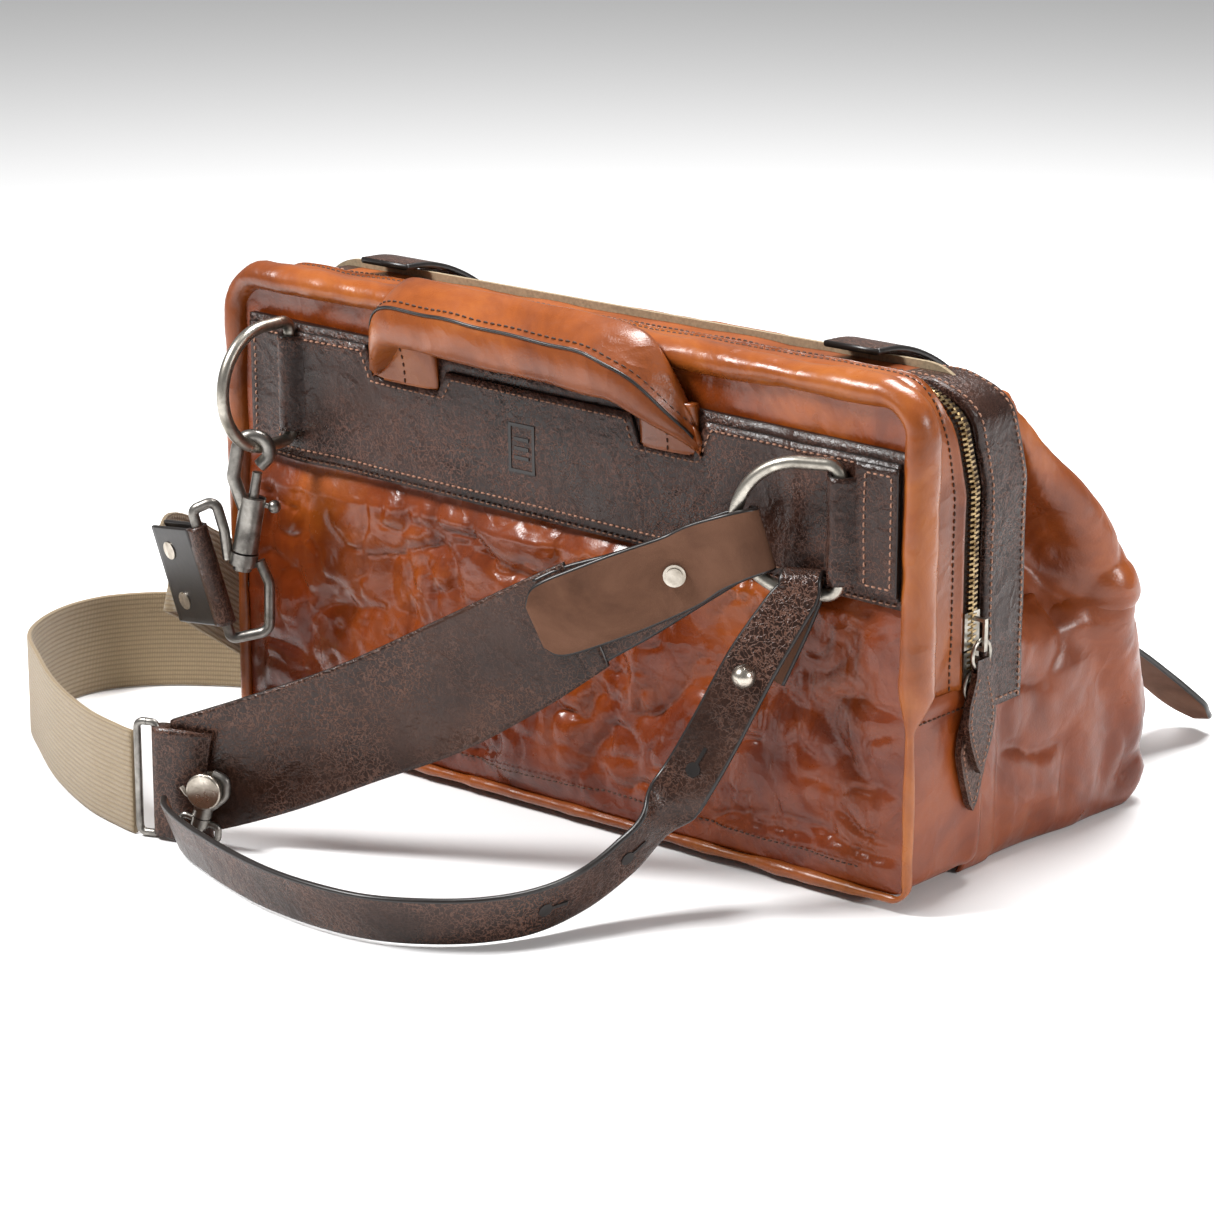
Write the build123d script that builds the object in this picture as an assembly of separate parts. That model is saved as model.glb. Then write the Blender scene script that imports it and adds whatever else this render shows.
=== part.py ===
from build123d import *
import math
import os

# A leather doctor bag worn as a sling. Millimetres, +Z up, the bag standing on its base.
# X runs along the wearer's panel, "depth" runs from that panel (0) towards the mouth's front.
BAG_W = 400.0
BAG_H = 236.0
BAG_D = 206.0
LEATHER = 3.0
CORNER = 30.0
RIM_PROUD = 4.0
RIM_WIDTH = 16.0
RIM_FRONT = -6.0
RIM_BACK = 10.0
PANEL_T = 4.0

ZIP_SIDE = 50.0
ZIP_TOP = 33.0
ZIP_TURN_Z = 182.0
ZIP_END_Z = 93.0
ZIP_HALF = 8.0
TEETH_HALF = 3.0
STRIP_W = 30.0
STRIP_END_Z = 80.0
DIVIDER = 58.0

RIDGE = (158.0, 141.0)
CREST = (94.0, 217.0)
FRONT_PROFILE = [(206.0, 0.0), (206.0, 16.0), (185.0, 82.0), (176.0, 104.0), RIDGE]
HINGE = (153.2, 136.9)
BAR = (89.2, 212.9)
ROD_R = 3.0
FRAME_X = 184.0

STRAP_X = 140.0
STRAP_W = 30.0
STRAP_T = 3.0
STRAP_HINGE = (50.0, 236.0)

RING_WIRE = 3.0
RING_HALF = 29.0
RING_REACH = 50.0
LEFT_RING = (-154.0, -8.0, 187.0, 92.0)
RIGHT_RING = (174.0, -8.0, 170.5, 22.0)

HANDLE_HINGE = (-4.0, 214.0)
GAP = 0.3
SEAM = 0.15


def y(depth):
    """Row Y of a depth measured from the wearer's panel."""
    return depth - BAG_D / 2


def at(x, depth, z):
    return Vector(x, y(depth), z)


def save(node, shape):
    os.makedirs("parts", exist_ok=True)
    solids = shape.solids() if hasattr(shape, "solids") else shape
    export_step(Compound(children=list(solids)), "parts/" + node + ".step")


def outline(grow, corner=CORNER):
    """The wearer's panel outline, grown outwards, standing in the XZ plane at depth 0."""
    plane = Plane(origin=at(0, 0, BAG_H / 2), x_dir=(1, 0, 0), z_dir=(0, 1, 0))
    size = (BAG_W + 2 * grow, BAG_H + 2 * grow)
    return plane * RectangleRounded(*size, corner + grow)


def ring_shell(outer, inner, depth_0, depth_1):
    """A band that follows the panel outline between two offsets and two depths."""
    band = extrude(outline(outer) - outline(inner), amount=depth_1 - depth_0)
    return Pos(0, depth_0, 0) * band


def side_prism(points, x_0, x_1):
    """A polygon in depth and height, stretched along X."""
    plane = Plane(origin=at(x_0, 0, 0), x_dir=(0, 1, 0), z_dir=(1, 0, 0))
    face = plane * make_face(Polyline(*points, close=True))
    return extrude(face, amount=x_1 - x_0)


def front_prism(points, depth_0, depth_1):
    """A polygon in X and height, stretched along the depth."""
    plane = Plane(origin=at(0, depth_0, 0), x_dir=(1, 0, 0), z_dir=(0, -1, 0))
    face = plane * make_face(Polyline(*points, close=True))
    return extrude(face, amount=-(depth_1 - depth_0))


def slab(x_0, x_1, depth_0, depth_1, z_0, z_1):
    middle = Pos((x_0 + x_1) / 2, y((depth_0 + depth_1) / 2), (z_0 + z_1) / 2)
    return middle * Box(x_1 - x_0, depth_1 - depth_0, z_1 - z_0)


def zip_depth(z):
    """Depth of the zip at a height: further out on the sides than over the top."""
    if z <= ZIP_TURN_Z:
        return ZIP_SIDE
    return ZIP_SIDE + (ZIP_TOP - ZIP_SIDE) * (z - ZIP_TURN_Z) / (BAG_H - ZIP_TURN_Z)


def along_zip(low, high, z_low):
    """A prism that follows the zip, between two distances from its middle."""
    heights = [z_low, ZIP_TURN_Z, BAG_H + RIM_PROUD]
    near = [(zip_depth(z) + low, z) for z in heights]
    far = [(zip_depth(z) + high, z) for z in reversed(heights)]
    return side_prism(near + far, -BAG_W, BAG_W)


def ribbon(stations, thickness):
    """A flat strap. Each station is its middle, the vector across it and its face normal."""
    wires = []
    for middle, across, normal in stations:
        m = Vector(*middle)
        a = Vector(*across) * 0.5
        n = Vector(*normal).normalized() * (thickness / 2)
        wires.append(Wire.make_polygon([m - a - n, m + a - n, m + a + n, m - a + n], close=True))
    return Solid.make_loft(wires, ruled=True)


def plan_ribbon(points, width, thickness, lean=0.0):
    """A strap standing on edge along plan points (x, depth, z), leaning over by some degrees."""
    stations = []
    last = len(points) - 1
    for i, point in enumerate(points):
        before = at(*points[max(i - 1, 0)])
        after = at(*points[min(i + 1, last)])
        run = after - before
        level = Vector(run.X, run.Y, 0).normalized()
        side = Vector(-level.Y, level.X, 0)
        tilt = math.radians(lean)
        up = Vector(0, 0, 1) * math.cos(tilt) + side * math.sin(tilt)
        normal = run.normalized().cross(up)
        across = normal.cross(run).normalized()
        stations.append((at(*point), across * width, normal))
    return ribbon(stations, thickness)


def rod(path_points, radius, bends):
    """A round wire along straight runs joined by arcs."""
    path = FilletPolyline(*path_points, radius=bends) if bends else Polyline(*path_points)
    start = Plane(origin=path @ 0, z_dir=path % 0)
    return sweep(start * Circle(radius), path=path)


def peg(start, end, radius):
    """A cylinder between two points."""
    run = end - start
    return extrude(Plane(origin=start, z_dir=run.normalized()) * Circle(radius), amount=run.length)


# ---------------------------------------------------------------- bag body

def back_panel():
    inner = RIM_PROUD - RIM_WIDTH
    return Pos(0, 0, 0) * extrude(outline(inner), amount=PANEL_T)


def panel_rim():
    band = ring_shell(RIM_PROUD, RIM_PROUD - RIM_WIDTH, RIM_FRONT, RIM_BACK)
    return band & slab(-BAG_W, BAG_W, -BAG_D, BAG_D, 0, 2 * BAG_H)


def rear_gusset():
    shell = ring_shell(0, -LEATHER, RIM_BACK, ZIP_SIDE)
    cover = along_zip(-ZIP_SIDE, -ZIP_HALF, ZIP_END_Z)
    return shell & cover


def lower_gusset():
    shell = ring_shell(0, -LEATHER, RIM_BACK, DIVIDER)
    return shell & slab(-BAG_W, BAG_W, 0, BAG_D, -1, ZIP_END_Z)


def zip_tape():
    shell = ring_shell(-0.8, -LEATHER, 20, 66)
    return shell & along_zip(-ZIP_HALF, ZIP_HALF, ZIP_END_Z)


def zip_teeth():
    shell = ring_shell(1.4, -0.8, 20, 66)
    return shell & along_zip(-TEETH_HALF, TEETH_HALF, ZIP_END_Z + 2)


def zip_strip():
    shell = ring_shell(1.6, -0.8, 20, 100)
    return shell & along_zip(ZIP_HALF, ZIP_HALF + STRIP_W, STRIP_END_Z)


def divider_panel():
    plate = extrude(outline(-LEATHER - GAP), amount=2)
    return Pos(0, DIVIDER, 0) * plate


def base_panel():
    return slab(-BAG_W / 2 + 1, BAG_W / 2 - 1, DIVIDER + 2, BAG_D - 4, 0, 4)


def base_board():
    return slab(-185, 185, DIVIDER + 6, BAG_D - 14, 4, 7)


def front_panel():
    """Lower front: from the base's front edge up past the elbow, short of the ridge."""
    cut = 14.0
    top = (RIDGE[0] + cut * 0.418, RIDGE[1] - cut * 0.909)
    outer = FRONT_PROFILE[:-1] + [top]
    inner = [(d - 4, max(z - 1.2, 0)) for d, z in reversed(outer)]
    return side_prism(outer + inner, -BAG_W / 2 + 2, BAG_W / 2 - 2)


def side_gusset(side):
    """Lower side wall of the main compartment."""
    wall = [(DIVIDER + 2, 4), (201.5, 4), (201.5, 14), (180.5, 80), (171, 102), (152, 139), (DIVIDER + 2, 139)]
    x = side * (BAG_W / 2 - 3)
    plate = side_prism(wall, min(x, x - side * LEATHER), max(x, x - side * LEATHER))
    return plate - pin_at(side, 170, 204, 2.6)


def gusset_fold(side):
    """Upper side wall, folded inwards between the strip and the front frame's leg."""
    t = LEATHER
    x = BAG_W / 2 - 6.5
    low = [(x, 60), (x, 105), (x, 149), (x - t, 149), (x - t, 105), (x - t, 60)]
    high = [(x, 72), (152, 80), (x - 1.5, 90), (x - 1.5, 90 - t), (152 - t, 80), (x - t, 72)]
    wires = []
    for points, z in ((low, 139.3), (high, 213)):
        wires.append(Wire.make_polygon([at(side * px, d, z) for px, d in points], close=True))
    return Solid.make_loft(wires, ruled=True)


def pin_at(side, x_0, x_1, radius):
    return peg(at(side * x_0, *HINGE), at(side * x_1, *HINGE), radius)


# ---------------------------------------------------------------- frames

def rear_frame():
    """Fixed steel bar under the strip, with a short leg down each side."""
    d, z = DIVIDER + 8, BAG_H - 10
    points = [at(-FRAME_X, d, 150), at(-FRAME_X, d, z), at(FRAME_X, d, z), at(FRAME_X, d, 150)]
    return rod(points, ROD_R, 10)


def front_frame():
    """Moving U of steel rod: the mouth's bar and two legs with an eye round each pin."""
    reach = 4.5
    run = math.hypot(BAR[0] - HINGE[0], BAR[1] - HINGE[1])
    foot = (HINGE[0] + (BAR[0] - HINGE[0]) * reach / run, HINGE[1] + (BAR[1] - HINGE[1]) * reach / run)
    points = [at(-FRAME_X, *foot), at(-FRAME_X, *BAR), at(FRAME_X, *BAR), at(FRAME_X, *foot)]
    bow = rod(points, ROD_R, 8)
    for side in (-1, 1):
        eye = pin_at(side, FRAME_X - 3, FRAME_X + 3, 6.0)
        bow = bow + eye
    for side in (-1, 1):
        bow = bow - pin_at(side, FRAME_X - 10, FRAME_X + 10, 2.55)
    return bow


def hinge_pins():
    pins = [pin_at(side, FRAME_X - 3.4, BAG_W / 2 - 3.2, 2.5) for side in (-1, 1)]
    return Compound(children=pins)


def flap_point(distance, lift):
    """A point on the upper front, measured up from the ridge and outwards from its face."""
    run = math.hypot(CREST[0] - RIDGE[0], CREST[1] - RIDGE[1])
    up = ((CREST[0] - RIDGE[0]) / run, (CREST[1] - RIDGE[1]) / run)
    out = (up[1], -up[0])
    return (RIDGE[0] + up[0] * distance + out[0] * lift, RIDGE[1] + up[1] * distance + out[1] * lift)


def front_flap():
    """Upper front leather, carried by the moving frame and hemmed over its bar."""
    points = [flap_point(16, 0), flap_point(96, 0), flap_point(96, -3), flap_point(16, -3)]
    sheet = side_prism(points, -192, 192)
    hem = peg(at(-172, *BAR), at(172, *BAR), 6.3) - peg(at(-185, *BAR), at(185, *BAR), ROD_R + 0.05)
    return sheet + hem


def front_fold():
    """Soft crease of the front leather, between the lower front and the flap."""
    low = (RIDGE[0] + 13.4 * 0.418, RIDGE[1] - 13.4 * 0.909)
    points = [low, RIDGE, flap_point(15.4, 0), flap_point(15.4, -3)]
    points += [(RIDGE[0] - 3.4, RIDGE[1] - 1.4), (low[0] - 3, low[1] - 1)]
    return side_prism(points, -180, 180)


# ---------------------------------------------------------------- closing straps

STRAP_RUN = [
    (43, 239.5), (60, 240), (74, 240.2), (90, 234.5), (101, 222), (124, 195), (166, 144), (181, 106),
    (193, 80), (213, 47), (241, 21), (275, 7.5), (300, 3.0), (310, 2.6),
]
BRIDGE_STATIONS = 5


def strap_stations(side):
    """Stations of a closing strap, from the strip over the mouth's bar and down to its pointed tip."""
    stations = []
    last = len(STRAP_RUN) - 1
    for i, (d, z) in enumerate(STRAP_RUN):
        d_0, z_0 = STRAP_RUN[max(i - 1, 0)]
        d_1, z_1 = STRAP_RUN[min(i + 1, last)]
        length = math.hypot(d_1 - d_0, z_1 - z_0)
        normal = (0, -(z_1 - z_0) / length, (d_1 - d_0) / length)
        wide = STRAP_W if i < last else STRAP_W / 3
        stations.append((at(side * STRAP_X, d, z), (wide, 0, 0), normal))
    return stations


def closing_strap(side):
    return ribbon(strap_stations(side)[BRIDGE_STATIONS - 1:], STRAP_T)


def strap_bridge(side):
    """Flexible first stretch of a closing strap, from the strip over the mouth's bar."""
    return ribbon(strap_stations(side)[:BRIDGE_STATIONS], STRAP_T)


SNAP_FACE = (0.909, 0.418)
SNAP_AT = (168.5, 120.0)


def snap_disc(side, lift_0, lift_1, radius):
    start = at(side * STRAP_X, SNAP_AT[0] + SNAP_FACE[0] * lift_0, SNAP_AT[1] + SNAP_FACE[1] * lift_0)
    end = at(side * STRAP_X, SNAP_AT[0] + SNAP_FACE[0] * lift_1, SNAP_AT[1] + SNAP_FACE[1] * lift_1)
    return peg(start, end, radius)


def snap_sockets():
    return Compound(children=[snap_disc(side, -1.0, 1.6, 8) for side in (-1, 1)])


def snap_disc_on_strap(side):
    return snap_disc(side, 2.0, 5.2, 8)


# ---------------------------------------------------------------- wearer's side: band, rings, handle

def band_base():
    return slab(-185, 185, -2, 0, 141, 213)


def band_top():
    """Upper layer of the band, with a notch for each handle tab."""
    points = [(-184, 150), (184, 143), (184, 204), (96, 206), (90, 190), (58, 190), (54, 203)]
    points += [(-58, 205), (-62, 196), (-102, 196), (-108, 210), (-184, 211)]
    return front_prism(points, -4, -2)


def ring_loop(ring, low, high):
    """Leather loop that holds a D-ring's bar against the band."""
    x, d, z, _ = ring
    tube = peg(at(x, d, z + low), at(x, d, z + high), 5.6) & slab(x - 9, x + 9, -20, -4, z + low, z + high)
    foot = slab(x - 13, x + 13, -6, -4, z + low, z + high)
    bore = peg(at(x, d, z - 60), at(x, d, z + 60), RING_WIRE + 0.3)
    return tube + foot - bore


def d_ring(ring):
    """D-ring: a straight bar, two short legs and a half circle, standing out at an angle."""
    x, d, z, angle = ring
    corner = 6.0
    leg = RING_REACH - RING_HALF - RING_WIRE
    turn = math.radians(angle)
    out = (-math.cos(turn), -math.sin(turn), 0)
    plane = Plane(origin=at(x, d, z), x_dir=out, z_dir=Vector(*out).cross(Vector(0, 0, 1)))
    half = RING_HALF
    edges = [
        Line((0, SEAM), (0, half - corner)),
        ThreePointArc((0, half - corner), (corner * 0.293, half - corner * 0.293), (corner, half)),
        Line((corner, half), (leg, half)),
        ThreePointArc((leg, half), (leg + half, 0), (leg, -half)),
        Line((leg, -half), (corner, -half)),
        ThreePointArc((corner, -half), (corner * 0.293, -half + corner * 0.293), (0, -half + corner)),
        Line((0, -half + corner), (0, -SEAM)),
    ]
    path = plane * Wire(edges)
    start = Plane(origin=path @ 0, z_dir=path % 0)
    return sweep(start * Circle(RING_WIRE), path=path)


def handle_tabs():
    left = slab(-100, -64, -4, -2, 197, 213.5)
    right = slab(60, 88, -4, -2, 191, 213.5)
    return left + right


def handle_grip():
    """Padded grip: a long trapezoid over the two tabs, with a leather leg down to each."""
    outer = [(-98, 218), (-84, 246), (-76, 250), (68, 250), (76, 246), (90, 218)]
    inner = [(62, 218), (56, 225), (-64, 225), (-70, 218)]
    body = front_prism(outer + inner, -28, -9)
    long_edges = body.edges().filter_by(Axis.X).filter_by(lambda e: e.center().Z > 230)
    body = fillet(long_edges, 5)
    for low, high in ((-96, -71), (63, 88)):
        points = [(-6, 214.5), (-3.2, 214.5), (-3.2, 219.5), (-8.5, 226), (-12, 226), (-12, 221), (-6, 219)]
        body = body + side_prism(points, low, high)
    return body


# ---------------------------------------------------------------- snap hook on the left ring

HOOK_W = Vector(0.752, 0.635, -0.174)
HOOK_UP = Vector(0.133, 0.112, 0.985)
HOOK_AT = at(-157.1, -38.5, 107.2)


def hook_point(w, up, out=0.0):
    side = HOOK_UP.cross(HOOK_W).normalized()
    return HOOK_AT + HOOK_W * w + HOOK_UP * up + side * out


def snap_hook():
    """Hook arm, slotted barrel and the neck that turns in the swivel eye."""
    points = [(-3.6, 22), (-11, 36), (-11, 57.6), (4, 57.6), (4, 48.5), (0.4, 43.6)]
    arm = rod([hook_point(*p) for p in points], 3.3, [6, 7.4, 7.4, 3.5])
    barrel = peg(hook_point(0, 1), hook_point(0, 28), 6.2)
    neck = peg(hook_point(0, -6.5), hook_point(0, 1), 3.0)
    button = peg(hook_point(0, -8.5), hook_point(0, -6.5), 4.6)
    bore = peg(hook_point(0, 4), hook_point(0, 40), 2.7)
    plane = Plane(origin=hook_point(4.5, 18), x_dir=HOOK_W, z_dir=HOOK_UP)
    slot = plane * Box(9, 3.6, 21)
    return arm + barrel - bore - slot + neck + button


def snap_bolt():
    """Sprung bolt with its thumb knob."""
    shaft = peg(hook_point(0, 15), hook_point(0, 40.3), 2.4)
    stem = peg(hook_point(0, 25), hook_point(9, 25), 1.3)
    knob = Pos(*hook_point(10.5, 25)) * Sphere(3.2)
    return shaft + stem + knob


BOW_SIDE = Vector(0.764, 0.645, 0)


def bow_point(right, up):
    return hook_point(0, -3) + BOW_SIDE * right + Vector(0, 0, 1) * up


BAR_HIGH = (-24.0, 24.0)
BAR_LOW = (-7.0, -40.0)


def swivel_eye():
    """Closed bow: an eye round the hook's neck, two arms and the straight bar for the strap."""
    collar = peg(hook_point(0, -5.8), hook_point(0, 0.2), 6.8)
    points = [(-7.5, 0), (-9, 14), (-13, 29), BAR_HIGH, BAR_LOW, (11.5, -36), (12, -12), (7.5, -1)]
    arms = rod([bow_point(*p) for p in points], 2.6, [6, 4, 3.2, 3.2, 6, 6])
    body = collar + arms
    return body - peg(hook_point(0, -9), hook_point(0, 3), 3.3)


BAR_RUN = (bow_point(*BAR_HIGH) - bow_point(*BAR_LOW)).normalized()
TAB_RUN = Vector(-0.985, 0.17, 0)
TAB_FACE = BAR_RUN.cross(TAB_RUN).normalized()
TAB_OUT = TAB_FACE.cross(BAR_RUN).normalized()
TAB_MID = (bow_point(*BAR_HIGH) + bow_point(*BAR_LOW)) * 0.5


TAB_LENGTH = 34.0


def tab_point(out, along, lift=0.0):
    return TAB_MID + TAB_OUT * out + BAR_RUN * along + TAB_FACE * lift


def hook_tab():
    """Leather folded round the bow's bar, its two faces riveted over the webbing's end."""
    loop = peg(tab_point(0, -25), tab_point(0, 25), 4.7)
    layers = []
    for lift in (-3.6, 3.6):
        stations = []
        for out in (0, TAB_LENGTH):
            stations.append((tab_point(out, 0, lift), BAR_RUN * 50, TAB_FACE))
        layers.append(ribbon(stations, 2.2))
    body = loop + layers[0] + layers[1]
    return body - peg(tab_point(0, -30), tab_point(0, 30), 2.9)


def hook_tab_rivets():
    rivets = [peg(tab_point(24, a, -5.3), tab_point(24, a, 5.3), 4.5) for a in (-13, 13)]
    return Compound(children=rivets)


# ---------------------------------------------------------------- shoulder strap

WEB_T = 2.4
WEB_W = 50.0
WEB_FLOOR = [
    (-128.6, -141.2, 25), (-140, -139.5, 25), (-170, -132, 25), (-212, -113, 25), (-252, -88, 25),
    (-280, -68, 25), (-295, -46, 25), (-302, -22, 25), (-300, 0, 25), (-290, 17, 25),
    (-276, 31, 25), (-258, 44, 25), (-243, 52, 25),
]


def webbing():
    """Woven strap standing on its edge, out to the left and back to the bag's end."""
    return plan_ribbon(WEB_FLOOR, WEB_W, WEB_T)


def webbing_rise():
    """The webbing's last stretch, turning back and up to the snap hook's tab."""
    stations = [(tab_point(out, 0), BAR_RUN * 48, TAB_FACE) for out in (31, 35)]
    route = [
        ((-216, -30, 90), (0.10, -0.10, 0.99), (-0.8, -0.6, 0)),
        ((-222, -5, 76), (0.0, -0.20, 0.98), (-1, -0.05, 0)),
        ((-222, 22, 58), (0.0, -0.15, 0.99), (-1, 0.1, 0)),
        ((-222, 44, 42), (0.0, -0.05, 1.0), (-0.8, 0.6, 0)),
        ((-229, 54, 31), (0.0, 0.0, 1.0), (-0.2, 1, 0)),
        ((-242.4, 52.4, 25.2), (0.0, 0.0, 1.0), (0.5, 0.85, 0)),
    ]
    for point, across, normal in route:
        stations.append((at(*point), Vector(*across).normalized() * 49, Vector(*normal)))
    return ribbon(stations, WEB_T)


LOOP_AT = (-121.0, -139.5, 25.0)


def wire_loop():
    """Rectangular wire loop that joins the webbing to the leather strap."""
    run = Vector(0.93, 0.365, 0)
    points = []
    for along, z in ((-SEAM, 55.5), (-5, 55.5), (-5, 1.8), (5, 1.8), (5, 55.5), (SEAM, 55.5)):
        centre = at(LOOP_AT[0], LOOP_AT[1], 0) + run * along
        points.append(Vector(centre.X, centre.Y, z))
    return rod(points, 1.8, 3.2)


WIDE_TOP = [(-111, 57), (-73, 73), (-32, 92), (11, 117), (50, 140), (62, 147)]
WIDE_BOTTOM = [(83, 103), (57, 81), (21, 57), (-18, 38), (-55, 20), (-91, 6), (-111, 2)]
WIDE_PLAN = [(-112, -133.5), (-73, -119.5), (-32, -102.5), (12, -85), (50, -71), (84, -57)]
WIDE_T = 3.4


def plan_sheet(points, thickness):
    """A thin upright wall along plan points."""
    near = []
    far = []
    last = len(points) - 1
    for i, (x, d) in enumerate(points):
        x_0, d_0 = points[max(i - 1, 0)]
        x_1, d_1 = points[min(i + 1, last)]
        length = math.hypot(x_1 - x_0, d_1 - d_0)
        shift = (-(d_1 - d_0) / length * thickness / 2, (x_1 - x_0) / length * thickness / 2)
        near.append((x - shift[0], y(d - shift[1])))
        far.append((x + shift[0], y(d + shift[1])))
    face = make_face(Polyline(*near, *reversed(far), close=True))
    return extrude(face, amount=2 * BAG_H)


def strap_wide():
    """Wide shoulder pad, rising from the floor to the neck, its low end folded round the wire loop."""
    sheet = plan_sheet(WIDE_PLAN, WIDE_T)
    pad = sheet & front_prism(WIDE_TOP + WIDE_BOTTOM, -BAG_D, BAG_D)
    hem = plan_sheet([(-111.5, -137.0), (-86, -127.4)], 3.0)
    hem = hem & front_prism([(-116, 3), (-101, 4.5), (-98, 30), (-107, 55), (-116, 52)], -BAG_D, BAG_D)
    loop = peg(Vector(-114.6, y(-136.3), 4), Vector(-114.6, y(-136.3), 51), 4.6)
    bore = peg(Vector(-116.35, y(-137.67), -9), Vector(-116.35, y(-137.67), 99), 2.3)
    return pad + hem + loop - bore


def strap_rivets():
    body = []
    for x, d, z in ((-109, -134.6, 40), (-106, -133.2, 15)):
        out = Vector(0.365, -0.93, 0)
        centre = at(x, d, z)
        body.append(peg(centre - out * 6.0, centre + out * 2.9, 4.4))
    return Compound(children=body)


STUD_AT = (-90.0, -126.6, 29.5)


def clasp_stud():
    """Round-headed stud on the pad, for the small clasp."""
    out = Vector(0.365, -0.93, 0)
    foot = at(*STUD_AT)
    post = peg(foot - out * 3.0, foot + out * 14.0, 2.8)
    back = peg(foot - out * 3.5, foot - out * 1.9, 7.0)
    collar = peg(foot + out * 1.9, foot + out * 4.0, 6.5)
    head = peg(foot + out * 12.6, foot + out * 15.4, 8.5)
    return fillet(head.edges().group_by(SortBy.LENGTH)[-1], 1.2) + post + back + collar


def strap_neck():
    """Narrow end of the pad, running behind the right ring's wire."""
    route = [
        ((75.2, -60.1, 126.6), 47, (0.4, -0.92)), ((91, -50, 135), 42, (0.5, -0.87)),
        ((110, -35.5, 147), 36, (0.6, -0.8)), ((126, -23, 158), 32, (0.5, -0.87)),
        ((135.2, -17.9, 163.0), 29, (0.43, -0.9)),
    ]
    stations = []
    for point, width, (nx, ny) in route:
        across = Vector(-0.36 * -ny, -0.36 * nx, 0.92).normalized()
        stations.append((at(*point), across * width, Vector(nx, ny, 0)))
    return ribbon(stations, 3.0)


def strap_return():
    """The neck's end, folded back flesh side out and ending short of the pad."""
    route = [
        ((135.9, -17.6, 163.2), 29, (-0.43, 0.9)), ((141.2, -18.8, 163.6), 29, (0.6, 0.8)),
        ((142.6, -22.6, 163.8), 29, (0.97, -0.23)), ((140.2, -27.6, 163.2), 30, (0.6, -0.8)),
        ((134.5, -32.0, 161), 31, (0.5, -0.87)), ((122, -36.4, 155), 33, (0.5, -0.87)),
        ((111, -40.2, 147.5), 35, (0.6, -0.8)), ((95, -52.4, 139), 37, (0.55, -0.83)),
        ((71, -67.5, 127), 37, (0.45, -0.89)),
    ]
    stations = []
    for point, width, (nx, ny) in route:
        stations.append((at(*point), Vector(-0.30, -0.14, 0.95).normalized() * width, Vector(nx, ny, 0)))
    return ribbon(stations, 3.0)


def strap_stud():
    """Flat stud that holds the fold-back to the neck."""
    out = Vector(0.58, -0.81, 0)
    centre = at(110, -41.2, 147)
    return peg(centre + out * 2.4, centre + out * 4.4, 5.0) + peg(centre + out * 4.4, centre + out * 5.4, 3.6)


NARROW_W = 25.0
NARROW_T = 3.0
NARROW_FLOOR = [
    (-100.5, -144.5, 14), (-92, -152, 14), (-72, -161, 14), (-42, -171, 13.5), (-8, -178, 13), (24, -180, 13), (52, -176, 13),
    (74, -164, 13), (92, -146, 13), (103, -124, 14), (110, -102, 19), (117, -83, 30), (124, -70, 44),
    (131, -60, 60),
]


def strap_narrow():
    """Narrow branch of the strap, on the floor from the clasp and up towards the right ring."""
    return plan_ribbon(NARROW_FLOOR, NARROW_W, NARROW_T, -20)


def narrow_rise():
    """Its last stretch: up to the ring's lower leg, over the wire and back down on the inside."""
    route = [
        ((131.6, -59.3, 61), 25, (-0.80, -0.20, 0.55)), ((140, -49, 84), 24, (-0.86, -0.25, 0.40)),
        ((149, -37, 112), 22, (-0.91, -0.32, 0.2)), ((157.5, -25.5, 134), 20, (-0.93, -0.36, 0.08)),
        ((161.4, -20.4, 143), 19, (-0.93, -0.37, 0)), ((161.0, -18.8, 148.6), 18, (-0.93, -0.37, 0)),
        ((159.2, -14.1, 151), 18, (-0.93, -0.37, 0)), ((157.4, -9.6, 148.6), 18, (-0.93, -0.37, 0)),
        ((156.4, -9.4, 142), 18, (-0.93, -0.37, 0)), ((152.5, -14.5, 127), 20, (-0.93, -0.37, 0)),
        ((146, -24, 104), 21, (-0.93, -0.37, 0)),
    ]
    stations = []
    last = len(route) - 1
    for i, (point, width, across) in enumerate(route):
        run = (at(*route[min(i + 1, last)][0]) - at(*route[max(i - 1, 0)][0])).normalized()
        wide = Vector(*across)
        wide = (wide - run * wide.dot(run)).normalized()
        stations.append((at(*point), wide * width, run.cross(wide)))
    return ribbon(stations, NARROW_T)


# ---------------------------------------------------------------- small clasp

CLASP_OUT = Vector(0.365, -0.93, 0)
CLASP_UP = Vector(0.25, 0.098, 0.963)
CLASP_SIDE = CLASP_UP.cross(CLASP_OUT).normalized()
CLASP_AT = at(*STUD_AT) + CLASP_OUT * 8.0
PIVOT = (-2.4, -10.5)


def clasp_point(side, up, out=0.0):
    return CLASP_AT + CLASP_SIDE * side + CLASP_UP * up + CLASP_OUT * out


def clasp_body():
    """Claw that goes round the stud's post, the neck below it and the barrel it turns on."""
    arc = [(0.5, 7), (7, 6.5), (8.2, -1), (4, -7.5), (0.5, -10)]
    claw = rod([clasp_point(*p) for p in arc], 2.4, [3, 4, 5])
    neck = peg(clasp_point(0, -14.5), clasp_point(0, -7.5), 4.4)
    swivel = peg(clasp_point(0, -19.5), clasp_point(0, -14.5), 2.2)
    button = peg(clasp_point(0, -21), clasp_point(0, -19.5), 3.2)
    slot = Plane(origin=clasp_point(-3.4, -8), x_dir=CLASP_SIDE, z_dir=CLASP_UP) * Box(7.4, 3.4, 9.4)
    return claw + neck + swivel + button - slot - peg(clasp_point(*PIVOT, -8), clasp_point(*PIVOT, 8), 1.05)


def clasp_pin():
    return peg(clasp_point(*PIVOT, -3.9), clasp_point(*PIVOT, 3.9), 1.0)


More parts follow.
